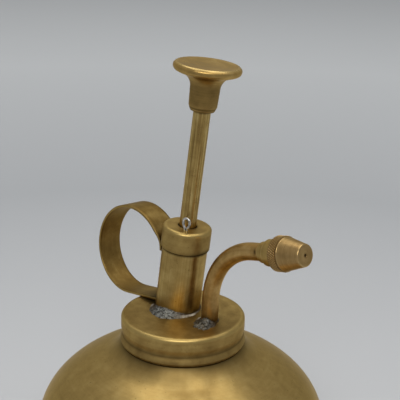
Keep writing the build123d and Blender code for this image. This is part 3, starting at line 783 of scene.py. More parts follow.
@dataclass(frozen=True)
class PlainFinish:
    """A finish with two shades mixed by noise, for steel, rubber, leather, felt and fibre."""

    name: str
    light: str
    dark: str
    roughness: float
    blotch_mm: float
    grit_mm: float
    depth: float
    metallic: float = 0.0

    def material(self) -> Material:
        """Builds the material.

        Returns:
            Material on Object coordinates.
        """
        made, tree = blank(self.name)
        where = add(tree, "ShaderNodeTexCoord", {}).outputs["Object"]
        blotches = {"Vector": where, "Scale": per(self.blotch_mm), "Detail": 4.0}
        blotch = add(tree, "ShaderNodeTexNoise", blotches)
        grit = add(tree, "ShaderNodeTexNoise", {"Vector": where, "Scale": per(self.grit_mm), "Detail": 3.0})
        share = add(tree, "ShaderNodeMapRange", {0: blotch, 1: 0.35, 2: 0.65})
        shades = {"Factor": share, 6: linear(self.dark), 7: linear(self.light)}
        colour = add(tree, "ShaderNodeMix", shades, data_type="RGBA").outputs[2]
        around = {0: grit, 1: 0.3, 2: self.roughness - 0.15}
        rough = add(tree, "ShaderNodeMath", around, operation="MULTIPLY_ADD")
        height = {"Height": grit, "Strength": 0.7, "Distance": self.depth * MM}
        bump = add(tree, "ShaderNodeBump", height)
        surface = {"Base Color": colour, "Metallic": self.metallic, "Roughness": rough, "Normal": bump}
        feed(tree.nodes["Principled BSDF"], surface)
        return made


@dataclass(frozen=True)
class SoftSolder:
    """Tin lead solder left as it froze: dull grey and grainy, brown as a thin film, with pale dried flux."""

    name: str = "tin_lead_solder"
    metal: str = "#94948e"
    dull: str = "#3d3c37"
    film: str = "#4a3719"
    flux: str = "#d3cab8"
    grain_mm: float = 1.0
    grain_depth: float = 0.35

    def material(self) -> Material:
        """Builds the material.

        Returns:
            Material that reads Object coordinates and the flux and film of a piece.
        """
        made, tree = blank(self.name)
        where = add(tree, "ShaderNodeTexCoord", {}).outputs["Object"]
        flux = add(tree, "ShaderNodeAttribute", {}, attribute_name="flux").outputs["Fac"]
        film = add(tree, "ShaderNodeAttribute", {}, attribute_name="film").outputs["Fac"]
        # Frozen grain near a millimetre and finer pits
        pits = {"Vector": where, "Scale": per(self.grain_mm), "Detail": 5.0, "Roughness": 0.75}
        grain = add(tree, "ShaderNodeTexNoise", pits)
        bright = add(tree, "ShaderNodeMapRange", {0: grain, 1: 0.42, 2: 0.6})
        colour: Any = linear(self.dull)
        for share, shade in ((bright, self.metal), (film, self.film), (flux, self.flux)):
            layer = {"Factor": share, 6: colour, 7: linear(shade)}
            colour = add(tree, "ShaderNodeMix", layer, data_type="RGBA").outputs[2]
        metallic = add(tree, "ShaderNodeMath", {0: 1.0, 1: flux}, operation="SUBTRACT", use_clamp=True)
        rough = add(tree, "ShaderNodeMath", {0: grain, 1: 0.3, 2: 0.3}, operation="MULTIPLY_ADD")
        height = {"Height": grain, "Strength": 1.0, "Distance": self.grain_depth * MM}
        bump = add(tree, "ShaderNodeBump", height)
        surface = {"Base Color": colour, "Metallic": metallic, "Roughness": rough, "Normal": bump}
        feed(tree.nodes["Principled BSDF"], surface)
        return made


class Finishes:
    """All the finishes of the mister, made once."""

    def __init__(self) -> None:
        """Makes every material."""
        # Spun over a former: an even satin whose fine rings draw the highlights upright
        self.spun = AgedBrass(
            "spun_brass",
            Grain.SPUN,
            roughness=0.33,
            grain_depth=0.002,
            grain_tone=0.08,
            blotch_tone=0.25,
            cloud_tone=0.05,
            uneven=0.06,
            brushing=0.5,
        ).material()
        # The lid and the gland cap are gripped with wet hands, so they are browner than the bowl
        self.lid = AgedBrass(
            "spun_lid_brass",
            Grain.SPUN,
            fresh="#c3a868",
            toned="#a68a52",
            browned="#886e3e",
            roughness=0.44,
            grain_depth=0.003,
            grain_tone=0.12,
            blotch_tone=0.4,
        ).material()
        # Turned from bar: satin with fine rings
        self.turned = AgedBrass("turned_brass", Grain.TURNED, grain_tone=0.15).material()
        # Rubbed by the thumb at every stroke, so the knob is smoother and its rim paler
        self.thumbed = AgedBrass(
            "thumbed_brass", Grain.TURNED, fresh="#dcc184", toned="#b9985a", roughness=0.33, grain_tone=0.15
        ).material()
        # Drawn tube: fine streaks along it and blotches from handling
        self.drawn = AgedBrass(
            "drawn_brass_tube",
            Grain.DRAWN,
            roughness=0.33,
            grain_depth=0.02,
            grain_tone=0.28,
            blotch_tone=0.4,
        ).material()
        # Wiped by the packing at every stroke, so the rod is brighter and strongly streaked
        self.rod = AgedBrass(
            "drawn_brass_rod", Grain.DRAWN, fresh="#dbc283", roughness=0.3, grain_depth=0.03, grain_tone=0.9
        ).material()
        # The pipe was softened in a flame to bend it, which left it redder
        self.annealed = AgedBrass(
            "annealed_brass_pipe",
            Grain.DRAWN,
            fresh="#d2b47a",
            toned="#b9965c",
            browned="#9a7843",
            roughness=0.34,
            grain_depth=0.02,
            grain_tone=0.15,
            blotch_tone=0.5,
        ).material()
        # Rolled strip bent by hand: brown from the soldering flame, pale only on its edges
        self.rolled = AgedBrass(
            "rolled_brass_strap",
            Grain.ROLLED,
            fresh="#b1965a",
            toned="#8a6e3a",
            browned="#6f5329",
            grain_tone=0.1,
        ).material()
        # Handled often and never polished, so the nozzle is browner than the rest
        self.handled = AgedBrass(
            "handled_brass", Grain.TURNED, fresh="#c5a670", toned="#a58655", browned="#876a41", roughness=0.36
        ).material()
        # Zinc plated steel wire and polished balls: bright, faintly warm grey
        self.steel = PlainFinish(
            "bright_steel_wire",
            "#dedbd6",
            "#9c9992",
            roughness=0.26,
            blotch_mm=1.2,
            grit_mm=0.4,
            depth=0.01,
            metallic=1.0,
        ).material()
        # Soft solder: grey and grainy where it lies thick
        self.solder = SoftSolder().material()
        # Nitrile rubber: black and matt, with a bloom of dust
        self.rubber = PlainFinish(
            "nitrile_rubber", "#2b2b2a", "#1a1a1a", roughness=0.7, blotch_mm=6.0, grit_mm=0.5, depth=0.02
        ).material()
        # Oiled cowhide: brown, with pores under a millimetre
        self.leather = PlainFinish(
            "oiled_cup_leather", "#6d4a2c", "#4a2f1a", roughness=0.6, blotch_mm=3.0, grit_mm=0.6, depth=0.06
        ).material()
        # Pressed wool felt: grey brown and fuzzy
        self.felt = PlainFinish(
            "wool_felt", "#8a8172", "#6a6154", roughness=0.9, blotch_mm=2.0, grit_mm=0.3, depth=0.1
        ).material()
        # Vulcanised fibre: dense red brown paper board
        self.fibre = PlainFinish(
            "vulcanised_fibre", "#7d3a2a", "#63291d", roughness=0.6, blotch_mm=4.0, grit_mm=0.3, depth=0.02
        ).material()


@dataclass
class Reservoir:
    """Two spun half bowls with a neck, in millimetres."""

    finishes: Finishes
    radius: float = 55.6
    crown: float = 32.4
    belly: float = 36.0
    wall: float = 0.9
    foot: float = 34.0
    shoulder: float = 31.0
    lip_rise: float = 6.0
    neck: float = 22.2
    neck_wall: float = 1.3
    neck_stand: float = 8.9
    neck_seat: float = 3.0
    thread_turns: float = 2.2
    thread_height: float = 6.6
    thread_wire: float = 0.2
    thread_lift: float = 1.2
    neck_rounding: float = 0.3
    foot_rounding: float = 1.2
    slack: float = 0.03
    # Shade painted on the neck under the lid's bead, with some grime
    shade_and_soil: float = -0.9
    sides: int = 160
    steps: int = 40
    lip_steps: int = 14

    def build(self, coil: Coil) -> None:
        """Builds both halves, the neck and its thread.

        Args:
            coil: recipe that winds the thread.
        """
        middle = self.belly * math.sqrt(1 - (self.foot / self.radius) ** 2)
        lip = middle + self.crown * math.sqrt(1 - (self.shoulder / self.radius) ** 2) + self.lip_rise
        place(self.upper(middle, lip), self.finishes.spun, "reservoir", "spun_brass", "reservoir_upper")
        place(self.lower(middle), self.finishes.spun, "reservoir", "spun_brass", "reservoir_lower")
        neck = [
            Corner(self.neck - self.neck_wall, lip - self.neck_seat),
            Corner(self.neck, lip - self.neck_seat),
            Corner(self.neck, lip + self.neck_stand, self.neck_rounding),
            Corner(self.neck - self.neck_wall, lip + self.neck_stand, self.neck_rounding),
        ]
        mesh = turned("neck", UPRIGHT, rounded(neck, True), True, self.sides)
        place(mesh, self.finishes.turned, "reservoir", "spun_brass", "neck_collar")
        sizes = (self.thread_turns, self.neck, self.thread_height, self.thread_wire)
        thread = coil.wind("neck_thread", *sizes, 6, self.finishes.turned)
        thread.transform(Matrix.Translation((0, 0, (lip + self.thread_lift) * MM)))
        settle(thread)
        place(thread, self.finishes.turned, "reservoir", "spun_brass")

    def dome(self, middle: float, inset: float) -> list[Corner]:
        """Upper ellipse from the widest height to the shoulder, inset from the outer face."""
        last = math.degrees(math.acos(self.shoulder / self.radius))
        return ellipse_arc(middle, self.radius - inset, self.crown - inset, 0, last, self.steps)

    def upper(self, middle: float, lip: float) -> Mesh:
        """Upper half, drawn up to the lip.

        Args:
            middle: height of the widest part.
            lip: height of the lip.

        Returns:
            Mesh.
        """
        walls = []
        for inset, bore in ((0.0, self.neck + self.wall), (self.wall, self.neck)):
            run = self.dome(middle, inset)
            a, b = run[-2:]
            way = (b.radius - a.radius, b.height - a.height)
            neck = tangent_arc((b.radius, b.height), way, (bore + self.slack, lip), self.lip_steps)
            # The neck darkens up to the lip, as painted shade under the lid's bead with some grime
            for step, corner in enumerate(neck):
                run.append(replace(corner, mark=self.shade_and_soil * (step / (self.lip_steps - 1)) ** 2))
            walls.append(run)
        corners = walls[0] + list(reversed(walls[1]))
        return turned("bowl_upper", UPRIGHT, rounded(corners, True), True, self.sides)

    def lower(self, middle: float) -> Mesh:
        """Lower half, with a flat bottom and a rounded foot.

        Args:
            middle: height of the widest part.

        Returns:
            Mesh.
        """
        last = math.degrees(math.acos(self.foot / self.radius))
        outer = ellipse_arc(middle, self.radius, self.belly, -last, 0, self.steps)
        drop = (middle - self.wall) / (self.belly - self.wall)
        inside = math.degrees(math.asin(drop))
        wide, tall = self.radius - self.wall, self.belly - self.wall
        inner = ellipse_arc(middle, wide, tall, 0, -inside, self.steps)
        foot = [Corner(0, 0), Corner(outer[0].radius, 0, self.foot_rounding)]
        corners = foot + outer[1:] + inner + [Corner(0, self.wall)]
        return turned("bowl_lower", UPRIGHT, rounded(corners, False, step=4.0), False, self.sides)


@dataclass
class Lid:
    """Pressed screw lid with a rolled bead and the barrel's hole, in millimetres."""

    finishes: Finishes
    radius: float = 23.55
    barrel_hole: float = 8.63
    bore: float = 22.55
    plate: float = 1.0
    height: float = 10.6
    edge: float = 1.3
    bead: float = 3.6
    bulge: float = 0.3
    groove: float = 0.35
    cove: float = 2.6
    # Painted shade in the cove over the bead, and how much darker the bead is made
    shade_and_soil: float = 0.55
    bead_darkening: float = 0.32
    pipe_heat: float = 0.32
    solder_heat: float = 0.35
    margin: float = 1.5
    skin: float = 0.2
    crest: float = 0.2
    steps: int = 10

    def build(self) -> None:
        """Builds the lid."""
        top = LID_TOP / MM
        low = top - self.height
        corners = [
            Corner(self.barrel_hole, top - self.plate),
            Corner(self.bore, top - self.plate),
            Corner(self.bore, low),
            *self.roll(low),
            Corner(self.radius, top, self.edge),
            Corner(self.barrel_hole, top),
        ]
        rings = [self.aside(ring) for ring in rounded(corners, True, step=1.4)]
        mesh = turned("lid_shell", UPRIGHT, rings, True, sides=160)
        stamp(mesh, "scorch", "FLOAT", [self.scorch(vertex.co) for vertex in mesh.vertices])
        place(mesh, self.finishes.lid, "pump_head", "spun_brass", "lid")

    def aside(self, ring: Ring) -> Ring:
        """Moves a ring of the plate so that the rings close in on the barrel's hole.

        Args:
            ring: ring on the lid's own axis.

        Returns:
            The ring, shifted inside the margin of the plate.
        """
        edge, hole = (self.bore - self.margin) * MM, self.barrel_hole * MM
        share = max(0.0, (edge - ring.radius) / (edge - hole))
        middle = PUMP.origin + PUMP.along * ((ring.height - LID_TOP) / PUMP.along.z)
        return replace(ring, shift=(middle.x * share, middle.y * share))

    def scorch(self, point: Vector) -> float:
        """Browning near the solder, and on the pipe's side of the top, which was heated longest.

        Args:
            point: row frame point.

        Returns:
            Share of browning there.
        """
        level = 1.0 if point.z > LID_TOP - self.skin * MM else 0.0
        way = Vector((PIPE_BASE.x, PIPE_BASE.y, 0)).normalized()
        side = max(0.0, point.dot(way) / (self.radius * MM))
        return self.solder_heat * warmth(point) + level * self.pipe_heat * side

    def roll(self, low: float) -> list[Corner]:
        """Soft wave of the bead and of the cove over it.

        Args:
            low: height of the lower edge.

        Returns:
            Corners from the lower edge up to the plain wall, with shade painted into the cove and the bead
            made darker.
        """
        crest = self.crest * self.bead
        waves = (
            (0.0, self.bulge, 0.0, crest),
            (self.bulge, -self.groove, crest, self.bead),
            (-self.groove, 0.0, self.bead, self.bead + self.cove),
        )
        corners = []
        for start, end, foot, head in waves:
            for step in range(self.steps):
                share = 0.5 - 0.5 * math.cos(math.pi * step / self.steps)
                swell = start + (end - start) * share
                height = low + foot + (head - foot) * step / self.steps
                # The cove gets painted shade and the bead is darker
                grime_and_shade = self.shade_and_soil * (min(0.0, swell) / self.groove) ** 4
                bead_dark = self.bead_darkening if head <= self.bead else 0.0
                corners.append(Corner(self.radius + swell, height, mark=-grime_and_shade - bead_dark))
        return corners + [Corner(self.radius, low + self.bead + self.cove)]


@dataclass
class PumpBarrel:
    """Leaning barrel with its gland cap and split pin, in millimetres on the pump's frame."""

    finishes: Finishes
    radius: float = BARREL_RADIUS
    wall: float = 0.9
    below: float = 48.0
    cap_bottom: float = 25.4
    cap_height: float = 8.5
    cap_wall: float = 0.6
    cap_plate: float = 1.0
    cap_edge: float = 1.2
    cap_slack: float = 0.05
    # Painted shadow on the barrel under the cap's rim: where it starts and where it is full, below the cap
    shadow_start: float = 1.3
    shadow_full: float = 0.3
    rod_hole: float = 3.475
    pin_wire: float = 0.5
    pin_split: float = 0.5
    pin_distance: float = 6.2
    pin_bearing: float = -50.0
    pin_turn: float = 15.0
    pin_leg: float = 3.6
    pin_sides: int = 14
    pin_spacing: float = 0.22
    eye_width: float = 1.3
    eye_height: float = 5.4
    residue_bearing: float = 5.0
    residue_spread: float = 40.0
    residue_height: float = 1.3
    residue_ragged: float = 1.2
    residue_patches: float = 500.0
    residue_depth: float = 1.1

    @property
    def cap_top(self) -> float:
        """Height of the top of the gland cap."""
        return self.cap_bottom + self.cap_height

    def build(self, stock: RoundStock) -> None:
        """Builds the barrel, the cap and the pin.

        Args:
            stock: recipe that bends the pin's wire.
        """
        inner = self.radius - self.wall
        top = self.cap_top - self.cap_plate
        tube = [
            Corner(inner, -self.below),
            Corner(self.radius, -self.below, rounding=0.2),
            # Painted shadow on the barrel just under the cap's rim
            Corner(self.radius, self.cap_bottom - self.shadow_start),
            Corner(self.radius, self.cap_bottom - self.shadow_full, mark=-1.2),
            Corner(self.radius, top, rounding=0.2),
            Corner(inner, top),
        ]
        mesh = turned("barrel_tube", PUMP, rounded(tube, True, step=1.2), True, sides=96)
        place(mesh, self.finishes.drawn, "pump_head", "drawn_brass", "pump_barrel")
        socket = self.radius + self.cap_slack
        rim = socket + self.cap_wall
        cap = [
            # Painted shade on the cap's lower rim and down the rod's hole
            Corner(socket, self.cap_bottom),
            Corner(rim, self.cap_bottom, rounding=0.2, mark=-0.3),
            Corner(rim, self.cap_top, self.cap_edge),
            Corner(self.rod_hole, self.cap_top, rounding=0.25, mark=-0.8),
            Corner(self.rod_hole, top, mark=-1.2),
            Corner(socket, top),
        ]
        mesh = turned("gland_cap_shell", PUMP, rounded(cap, True, step=1.2), True, sides=96)
        self.residue(mesh)
        place(mesh, self.finishes.lid, "pump_head", "drawn_brass", "gland_cap")
        self.pin(stock)

    def residue(self, mesh: Mesh) -> None:
        """Darkens the lower edge of the cap where old polish dried.

        Args:
            mesh: cap with its wear and painted shade marked.
        """
        marks = mesh.attributes["wear_and_shade"].data
        for vertex in mesh.vertices:
            spot = PUMP.local(vertex.co) / MM
            bearing = math.degrees(math.atan2(spot.y, spot.x))
            patch = noise.noise(vertex.co * self.residue_patches)
            ragged = self.residue_height + self.residue_ragged * patch
            low = math.exp(-max(0.0, spot.z - self.cap_bottom) / ragged)
            side = lobe(bearing, self.residue_bearing, self.residue_spread)
            marks[vertex.index].value -= self.residue_depth * low * side

    def pin(self, stock: RoundStock) -> None:
        """Bends the split pin.

        Args:
            stock: recipe that bends its wire.
        """
        bearing = math.radians(self.pin_bearing)
        across, along = self.pin_distance * math.cos(bearing), self.pin_distance * math.sin(bearing)
        crown = self.eye_height - self.pin_wire
        tight, wide = 1.4 * self.pin_wire, 0.95 * self.eye_width
        half = [
            (self.pin_split, -self.pin_leg, 0.0),
            (self.pin_split, 2 * self.pin_wire, tight),
            (self.eye_width, 0.5 * crown, tight),
            (self.eye_width, crown, wide),
        ]
        line = [(-x, z, bend) for x, z, bend in half] + list(reversed(half))
        turn = math.radians(self.pin_turn)
        route = []
        for x, z, bend in line:
            place_x, place_y = across + x * math.cos(turn), along + x * math.sin(turn)
            route.append((PUMP.point(place_x * MM, place_y * MM, (self.cap_top + z) * MM), bend * MM))
        sizes = (self.pin_wire * MM, self.pin_sides, self.pin_spacing * MM)
        mesh = stock.form("split_pin_wire", route, *sizes, self.finishes.steel)
        place(mesh, self.finishes.steel, "pump_head", "steel", "split_pin")


@dataclass
class Plunger:
    """Knob and rod, in millimetres on the pump's frame."""

    finishes: Finishes
    rod: float = TUBE_RADIUS
    rod_bottom: float = 27.6
    knob_bottom: float = 78.4
    socket: float = 11.0
    rim: float = 11.45
    height: float = 17.0
    rim_height: float = 3.1
    dish: float = 0.45
    flare: Pair = (8.0, 12.7)
    boss: Pair = (5.45, 8.4)
    boss_foot: float = 5.2
    chamfer: float = 1.8
    inset: float = 0.75
    slack: float = 0.03
    end_gap: float = 0.1
    dark_run: float = 0.9
    undercut: float = 0.2
    rounding: float = 1.2
    steps: int = 14
    crest_steps: int = 4

    def build(self) -> None:
        """Builds the rod and the knob."""
        end = self.knob_bottom + self.socket - self.end_gap
        rod = [
            Corner(0, self.rod_bottom),
            Corner(self.rod, self.rod_bottom),
            # The rod darkens over a short run up to the knob
            Corner(self.rod, self.knob_bottom - self.dark_run),
            Corner(self.rod, self.knob_bottom, mark=-1.0),
            Corner(self.rod, end),
            Corner(0, end),
        ]
        mesh = turned("rod_tube", PUMP, rounded(rod, False, step=3.0), False, sides=64)
        place(mesh, self.finishes.rod, "plunger", "drawn_brass", "plunger_rod")
        low = self.knob_bottom
        boss = (self.boss[0], low + self.boss[1])
        flare = (self.flare[0], low + self.flare[1])
        under = (self.rim - self.undercut, low + self.height - self.rim_height)
        crest = (self.rim, low + self.height)
        rake = (under[0] - flare[0], under[1] - flare[1])
        side = (boss[0] - self.boss_foot, boss[1] - low - self.chamfer)
        throat = tangent_arc(boss, side, flare, self.steps)
        # Painted shade on the flare under the rim, deepest at the boss
        marks = [-0.5 * (1 - step / (self.steps - 1)) - 0.1 for step in range(self.steps)]
        centre = low + self.height - self.dish
        shares = [1 - step / self.steps for step in range(2, self.steps + 1)]
        dished = [Corner(self.rim * share, centre + self.dish * share**2) for share in shares]
        corners = [
            Corner(0, low + self.socket),
            Corner(self.rod + self.slack, low + self.socket),
            Corner(self.rod + self.slack, low),
            # The boss and its foot get painted shade, for the shadow of the rim over them
            Corner(self.boss_foot - self.inset, low, rounding=0.3, mark=-0.9),
            Corner(self.boss_foot, low + self.chamfer, self.rounding, mark=-0.4),
            Corner((self.boss_foot + boss[0]) / 2, (low + self.chamfer + boss[1]) / 2, mark=-0.5),
            Corner(*boss, mark=-0.6),
            *[replace(corner, mark=mark) for corner, mark in zip(throat, marks)],
            Corner(*under, mark=-0.1),
            *tangent_arc(under, rake, crest, self.steps)[: -self.crest_steps],
            Corner(*crest, self.rounding),
            *dished,
        ]
        mesh = turned("knob", PUMP, rounded(corners, False), False, sides=128)
        place(mesh, self.finishes.thumbed, "plunger", "turned_brass", "thumb_knob")


@dataclass
class SprayPipe:
    """Bent tube from the outlet valve to the nozzle, in millimetres."""

    finishes: Finishes
    radius: float = TUBE_RADIUS
    wall: float = 0.95
    kink_depth: float = 5.0
    kink: float = 20.0
    bend: float = 26.3
    foot: float = -26.78
    socket: float = 4.05
    sides: int = 48
    spacing: float = 0.6
    stake: float = -1.3
    stake_bearing: float = 165.0
    stake_length: float = 0.5
    stake_spread: float = 18.0
    stake_depth: float = 0.28
    stake_room: float = 3.0
    stake_darkening: float = 1.2

    def build(self, stock: RoundStock) -> None:
        """Builds the pipe with the small stake mark behind its nozzle.

        Args:
            stock: recipe that bends the tube.
        """
        turn = PIPE_BASE - PIPE_WAY * (self.kink_depth * MM)
        seat = PUMP.local(turn)
        route = [
            (PUMP.point(seat.x, seat.y, self.foot * MM), 0.0),
            (turn, self.kink * MM),
            (PIPE_CORNER, self.bend * MM),
            (NOZZLE.point(0, 0, self.socket * MM), 0.0),
        ]
        finish = self.finishes.annealed
        sizes = (self.radius * MM, self.sides, self.spacing * MM)
        mesh = stock.form("pipe_tube", route, *sizes, finish, self.wall * MM)
        marks = []
        for vertex in mesh.vertices:
            spot = NOZZLE.local(vertex.co) / MM
            bearing = math.degrees(math.atan2(spot.y, spot.x))
            along = (spot.z - self.stake) / self.stake_length
            beside = ((bearing - self.stake_bearing + 180) % 360 - 180) / self.stake_spread
            dent = math.exp(-(along**2) - beside**2) if abs(spot.z - self.stake) < self.stake_room else 0.0
            inward = (NOZZLE.point(0, 0, spot.z * MM) - vertex.co).normalized()
            vertex.co += inward * (self.stake_depth * MM * dent)
            # The stake dent is painted darker
            marks.append(-self.stake_darkening * dent)
        stamp(mesh, "wear_and_shade", "FLOAT", marks)
        place(mesh, finish, "pump_head", "drawn_brass", "spray_pipe")


@dataclass
class Nozzle:
    """Stem and screw cap, in millimetres along the spray from the back of the stem."""

    finishes: Finishes
    sleeve_bore: float = 3.205
    sleeve: float = 2.85
    sleeve_radius: float = 3.755
    collar_radius: float = 4.75
    stem_front: float = 6.75
    thread_radius: float = 4.2
    thread_front: float = 11.75
    thread_slack: float = 0.06
    bore: float = 1.5
    socket: float = 4.1
    ring_back: float = 7.05
    ring_front: float = 11.15
    ring_radius: float = 6.15
    cone_back: float = 5.85
    cone_front: float = 3.85
    cone_gap: float = 0.1
    rim_length: float = 0.9
    rim_fall: float = 0.2
    eye: float = 0.4
    face: float = 19.05
    orifice: float = 0.45
    countersink: float = 0.15
    plate: float = 1.0
    chamber: float = 2.66
    chamber_back: float = 12.4
    knurls: int = 48
    knurl_slant: float = 28.0
    knurl_ridge: float = 0.15
    knurl_depth: float = 0.12
    knurl_seat: float = 0.13
    knurl_margin: float = 0.7

    def build(self, ridges: GripRidges) -> None:
        """Builds the stem, the cap and the knurled grip.

        Args:
            ridges: recipe that sets the knurl.
        """
        stem = [
            Corner(self.sleeve_bore, 0),
            Corner(self.sleeve_radius, 0, rounding=0.25),
            # Painted shade in the step from the sleeve to the collar and at the collar's front, where the cap
            # meets it
            Corner(self.sleeve_radius, self.sleeve, rounding=0.15, mark=-1.2),
            Corner(self.collar_radius, self.sleeve, rounding=0.35),
            Corner(self.collar_radius, self.stem_front, rounding=0.35, mark=-0.9),
            Corner(self.thread_radius, self.stem_front),
            Corner(self.thread_radius, self.thread_front, rounding=0.2),
            Corner(self.bore, self.thread_front),
            Corner(self.bore, self.socket),
            Corner(self.sleeve_bore, self.socket),
        ]
        mesh = turned("stem", NOZZLE, rounded(stem, True, step=1.5, reach=0.4), True, sides=80)
        place(mesh, self.finishes.turned, "pump_head", "turned_brass", "nozzle_stem")
        groove = self.thread_radius + self.thread_slack
        ring = self.ring_radius - self.knurl_depth
        middle = (self.ring_back + self.ring_front) / 2
        cap = [
            # Painted shade in the groove behind the grip and in the orifice, a darker knurled ring, and
            # painted highlights on the rims of the cone and the face
            Corner(groove, self.ring_back, mark=-1.2),
            Corner(ring, self.ring_back, rounding=0.4, mark=-1.0),
            Corner(ring, middle, mark=-0.6),
            Corner(ring, self.ring_front, rounding=0.2, mark=-0.6),
            Corner(self.cone_back, self.ring_front + self.cone_gap, rounding=0.12, mark=1.2),
            Corner(self.cone_back - self.rim_fall, self.ring_front + self.rim_length, mark=0.0),
            Corner(self.cone_front, self.face, rounding=0.35, mark=1.3),
            Corner(self.orifice + self.eye, self.face, mark=0.0),
            Corner(self.orifice + self.countersink, self.face, mark=-0.4),
            Corner(self.orifice, self.face - self.countersink, mark=-1.2),
            Corner(self.orifice, self.face - self.plate),
            Corner(self.chamber, self.face - self.plate),
            Corner(self.chamber, self.chamber_back),
            Corner(groove, self.chamber_back),
        ]
        mesh = turned("spray_cap", NOZZLE, rounded(cap, True, step=1.5, reach=0.4), True, sides=96)
        place(mesh, self.finishes.handled, "nozzle", "turned_brass", "nozzle_cap")
        length = self.ring_front - self.ring_back - self.knurl_margin
        slant = math.radians(self.knurl_slant)
        values = {
            "Count": self.knurls,
            "Ring Radius": (self.ring_radius - self.knurl_seat) * MM,
            "Ridge Radius": self.knurl_ridge * MM,
            "Ridge Length": length / math.cos(slant) * MM,
            "Slant": slant,
            "Material": self.finishes.handled,
        }
        grip = ridges.bake("knurled_grip", values)
        grip.transform(NOZZLE.matrix() @ Matrix.Translation((0, 0, middle * MM)))
        stamp(grip, "wear_and_shade", "FLOAT", [0.4] * len(grip.vertices))
        place(grip, self.finishes.handled, "nozzle", "turned_brass")


@dataclass
class FingerLoop:
    """Strap loop between the lid and the barrel, in millimetres on the pump's frame."""

    finishes: Finishes
    width: float = 10.5
    thickness: float = 1.0
    rest: float = 0.55
    barrel: float = BARREL_RADIUS
    radius: float = 19.55
    distance: float = 24.8
    height: float = 12.87
    low_radius: float = 16.221
    slope: float = 13.8
    tab_start: float = 20.8
    tab_end: float = 22.3
    taper: float = 0.25
    taper_run: float = 8.0
    edge: float = 0.22
    slack: float = 0.05
    rubbed_and_sheen: float = 0.9
    browning: float = 1.8
    columns: int = 14
    edge_steps: int = 5
    crown_steps: int = 48
    onto_steps: int = 10
    under_steps: int = 40
    end_steps: int = 12

    def build(self) -> None:
        """Builds the strap."""
        place(self.strap(), self.finishes.rolled, "pump_head", "strap_brass", "finger_loop")

    def line(self) -> list[Corner]:
        """Middle of the strap from the tab to the point where it runs straight.

        Returns:
            Points as distance from the barrel's axis and height.
        """
        tip = Vector((self.barrel + self.rest, self.tab_end))
        centre = Vector((self.distance, self.height))
        away = tip - centre
        turn = (self.radius**2 - away.dot(away)) / (2 * (self.radius + away.x))
        middle = tip + Vector((turn, 0))
        join = centre + (middle - centre).normalized() * self.radius
        far = centre + Vector((self.radius, 0))
        tilt = math.radians(self.slope)
        low = Vector((far.x - self.low_radius, far.y))
        leave = low - Vector((math.sin(tilt), math.cos(tilt))) * self.low_radius
        first = math.atan2(join.y - centre.y, join.x - centre.x)
        crown = [
            Corner(centre.x + self.radius * math.cos(a), centre.y + self.radius * math.sin(a))
            for a in (first * (1 - step / self.crown_steps) for step in range(1, self.crown_steps + 1))
        ]
        half_way = (self.tab_start + self.tab_end) / 2
        tab = [Corner(tip.x, self.tab_start), Corner(tip.x, half_way), Corner(*tip)]
        onto = tangent_arc(tuple(tip), (0.0, 1.0), tuple(join), self.onto_steps)
        under = tangent_arc(tuple(far), (0.0, -1.0), tuple(leave), self.under_steps)
        return tab + onto + crown + under

    def strap(self) -> Mesh:
        """Sweeps the strap's rounded section, with its low end cut round the barrel.

        Returns:
            Mesh with its lay, its wear and painted shade, and its scorch marked.
        """
        path = [Vector((c.radius, c.height)) for c in self.line()]
        tilt = math.radians(self.slope)
        way = Vector((-math.cos(tilt), math.sin(tilt)))
        half, thick = self.width / 2 - self.edge, self.thickness / 2
        section: list[tuple[float, float, float]] = []
        for side in (1, -1):
            for step in range(self.columns + 1):
                section.append((side * thick, side * half * (1 - 2 * step / self.columns), 0.0))
            for step in range(1, self.edge_steps):
                angle = math.pi * step / self.edge_steps
                beside = -side * half - side * self.edge * math.sin(angle)
                section.append((side * thick * math.cos(angle), beside, self.rubbed_and_sheen))
        rows: list[list[Vector]] = []
        stations: list[float] = []
        run = 0.0
        for number, point in enumerate(path):
            ahead = path[min(number + 1, len(path) - 1)] - path[max(number - 1, 0)]
            normal = Vector((ahead.y, -ahead.x)).normalized()
            if number:
                run += (point - path[number - 1]).length
            trim = 1 - self.taper * max(0.0, 1 - run / self.taper_run)
            spots = [(point.x - normal.x * n, d * trim, point.y - normal.y * n) for n, d, _ in section]
            rows.append([Vector(spot) for spot in spots])
            stations.append(run)
        leave = path[-1]
        normal = Vector((way.y, -way.x))
        for step in range(1, self.end_steps + 1):
            row = []
            for n, d, _ in section:
                end = math.sqrt(max((self.barrel + self.slack) ** 2 - d * d, 0.1))
                length = (leave.x - end) / math.cos(tilt) * step / self.end_steps
                spot = leave + way * length - normal * n
                row.append(Vector((spot.x, d, spot.y)))
            rows.append(row)
            stations.append(run + step)
        lays: list[float] = []
        for row, station in zip(rows, stations):
            for spot, part in zip(row, section):
                lays.extend((station * MM, spot.y * MM, part[0] * MM))
        wear_and_shade_marks = [part[2] for _ in rows for part in section]
        set_rows = [[PUMP.point(-v.x * MM, v.y * MM, v.z * MM) for v in row] for row in rows]
        mesh = woven("loop_strap", set_rows, False, True)
        outward(mesh)
        stamp(mesh, "lay", "FLOAT_VECTOR", lays)
        stamp(mesh, "wear_and_shade", "FLOAT", wear_and_shade_marks)
        brown(mesh, self.browning)
        settle(mesh, sharp=50.0)
        return mesh


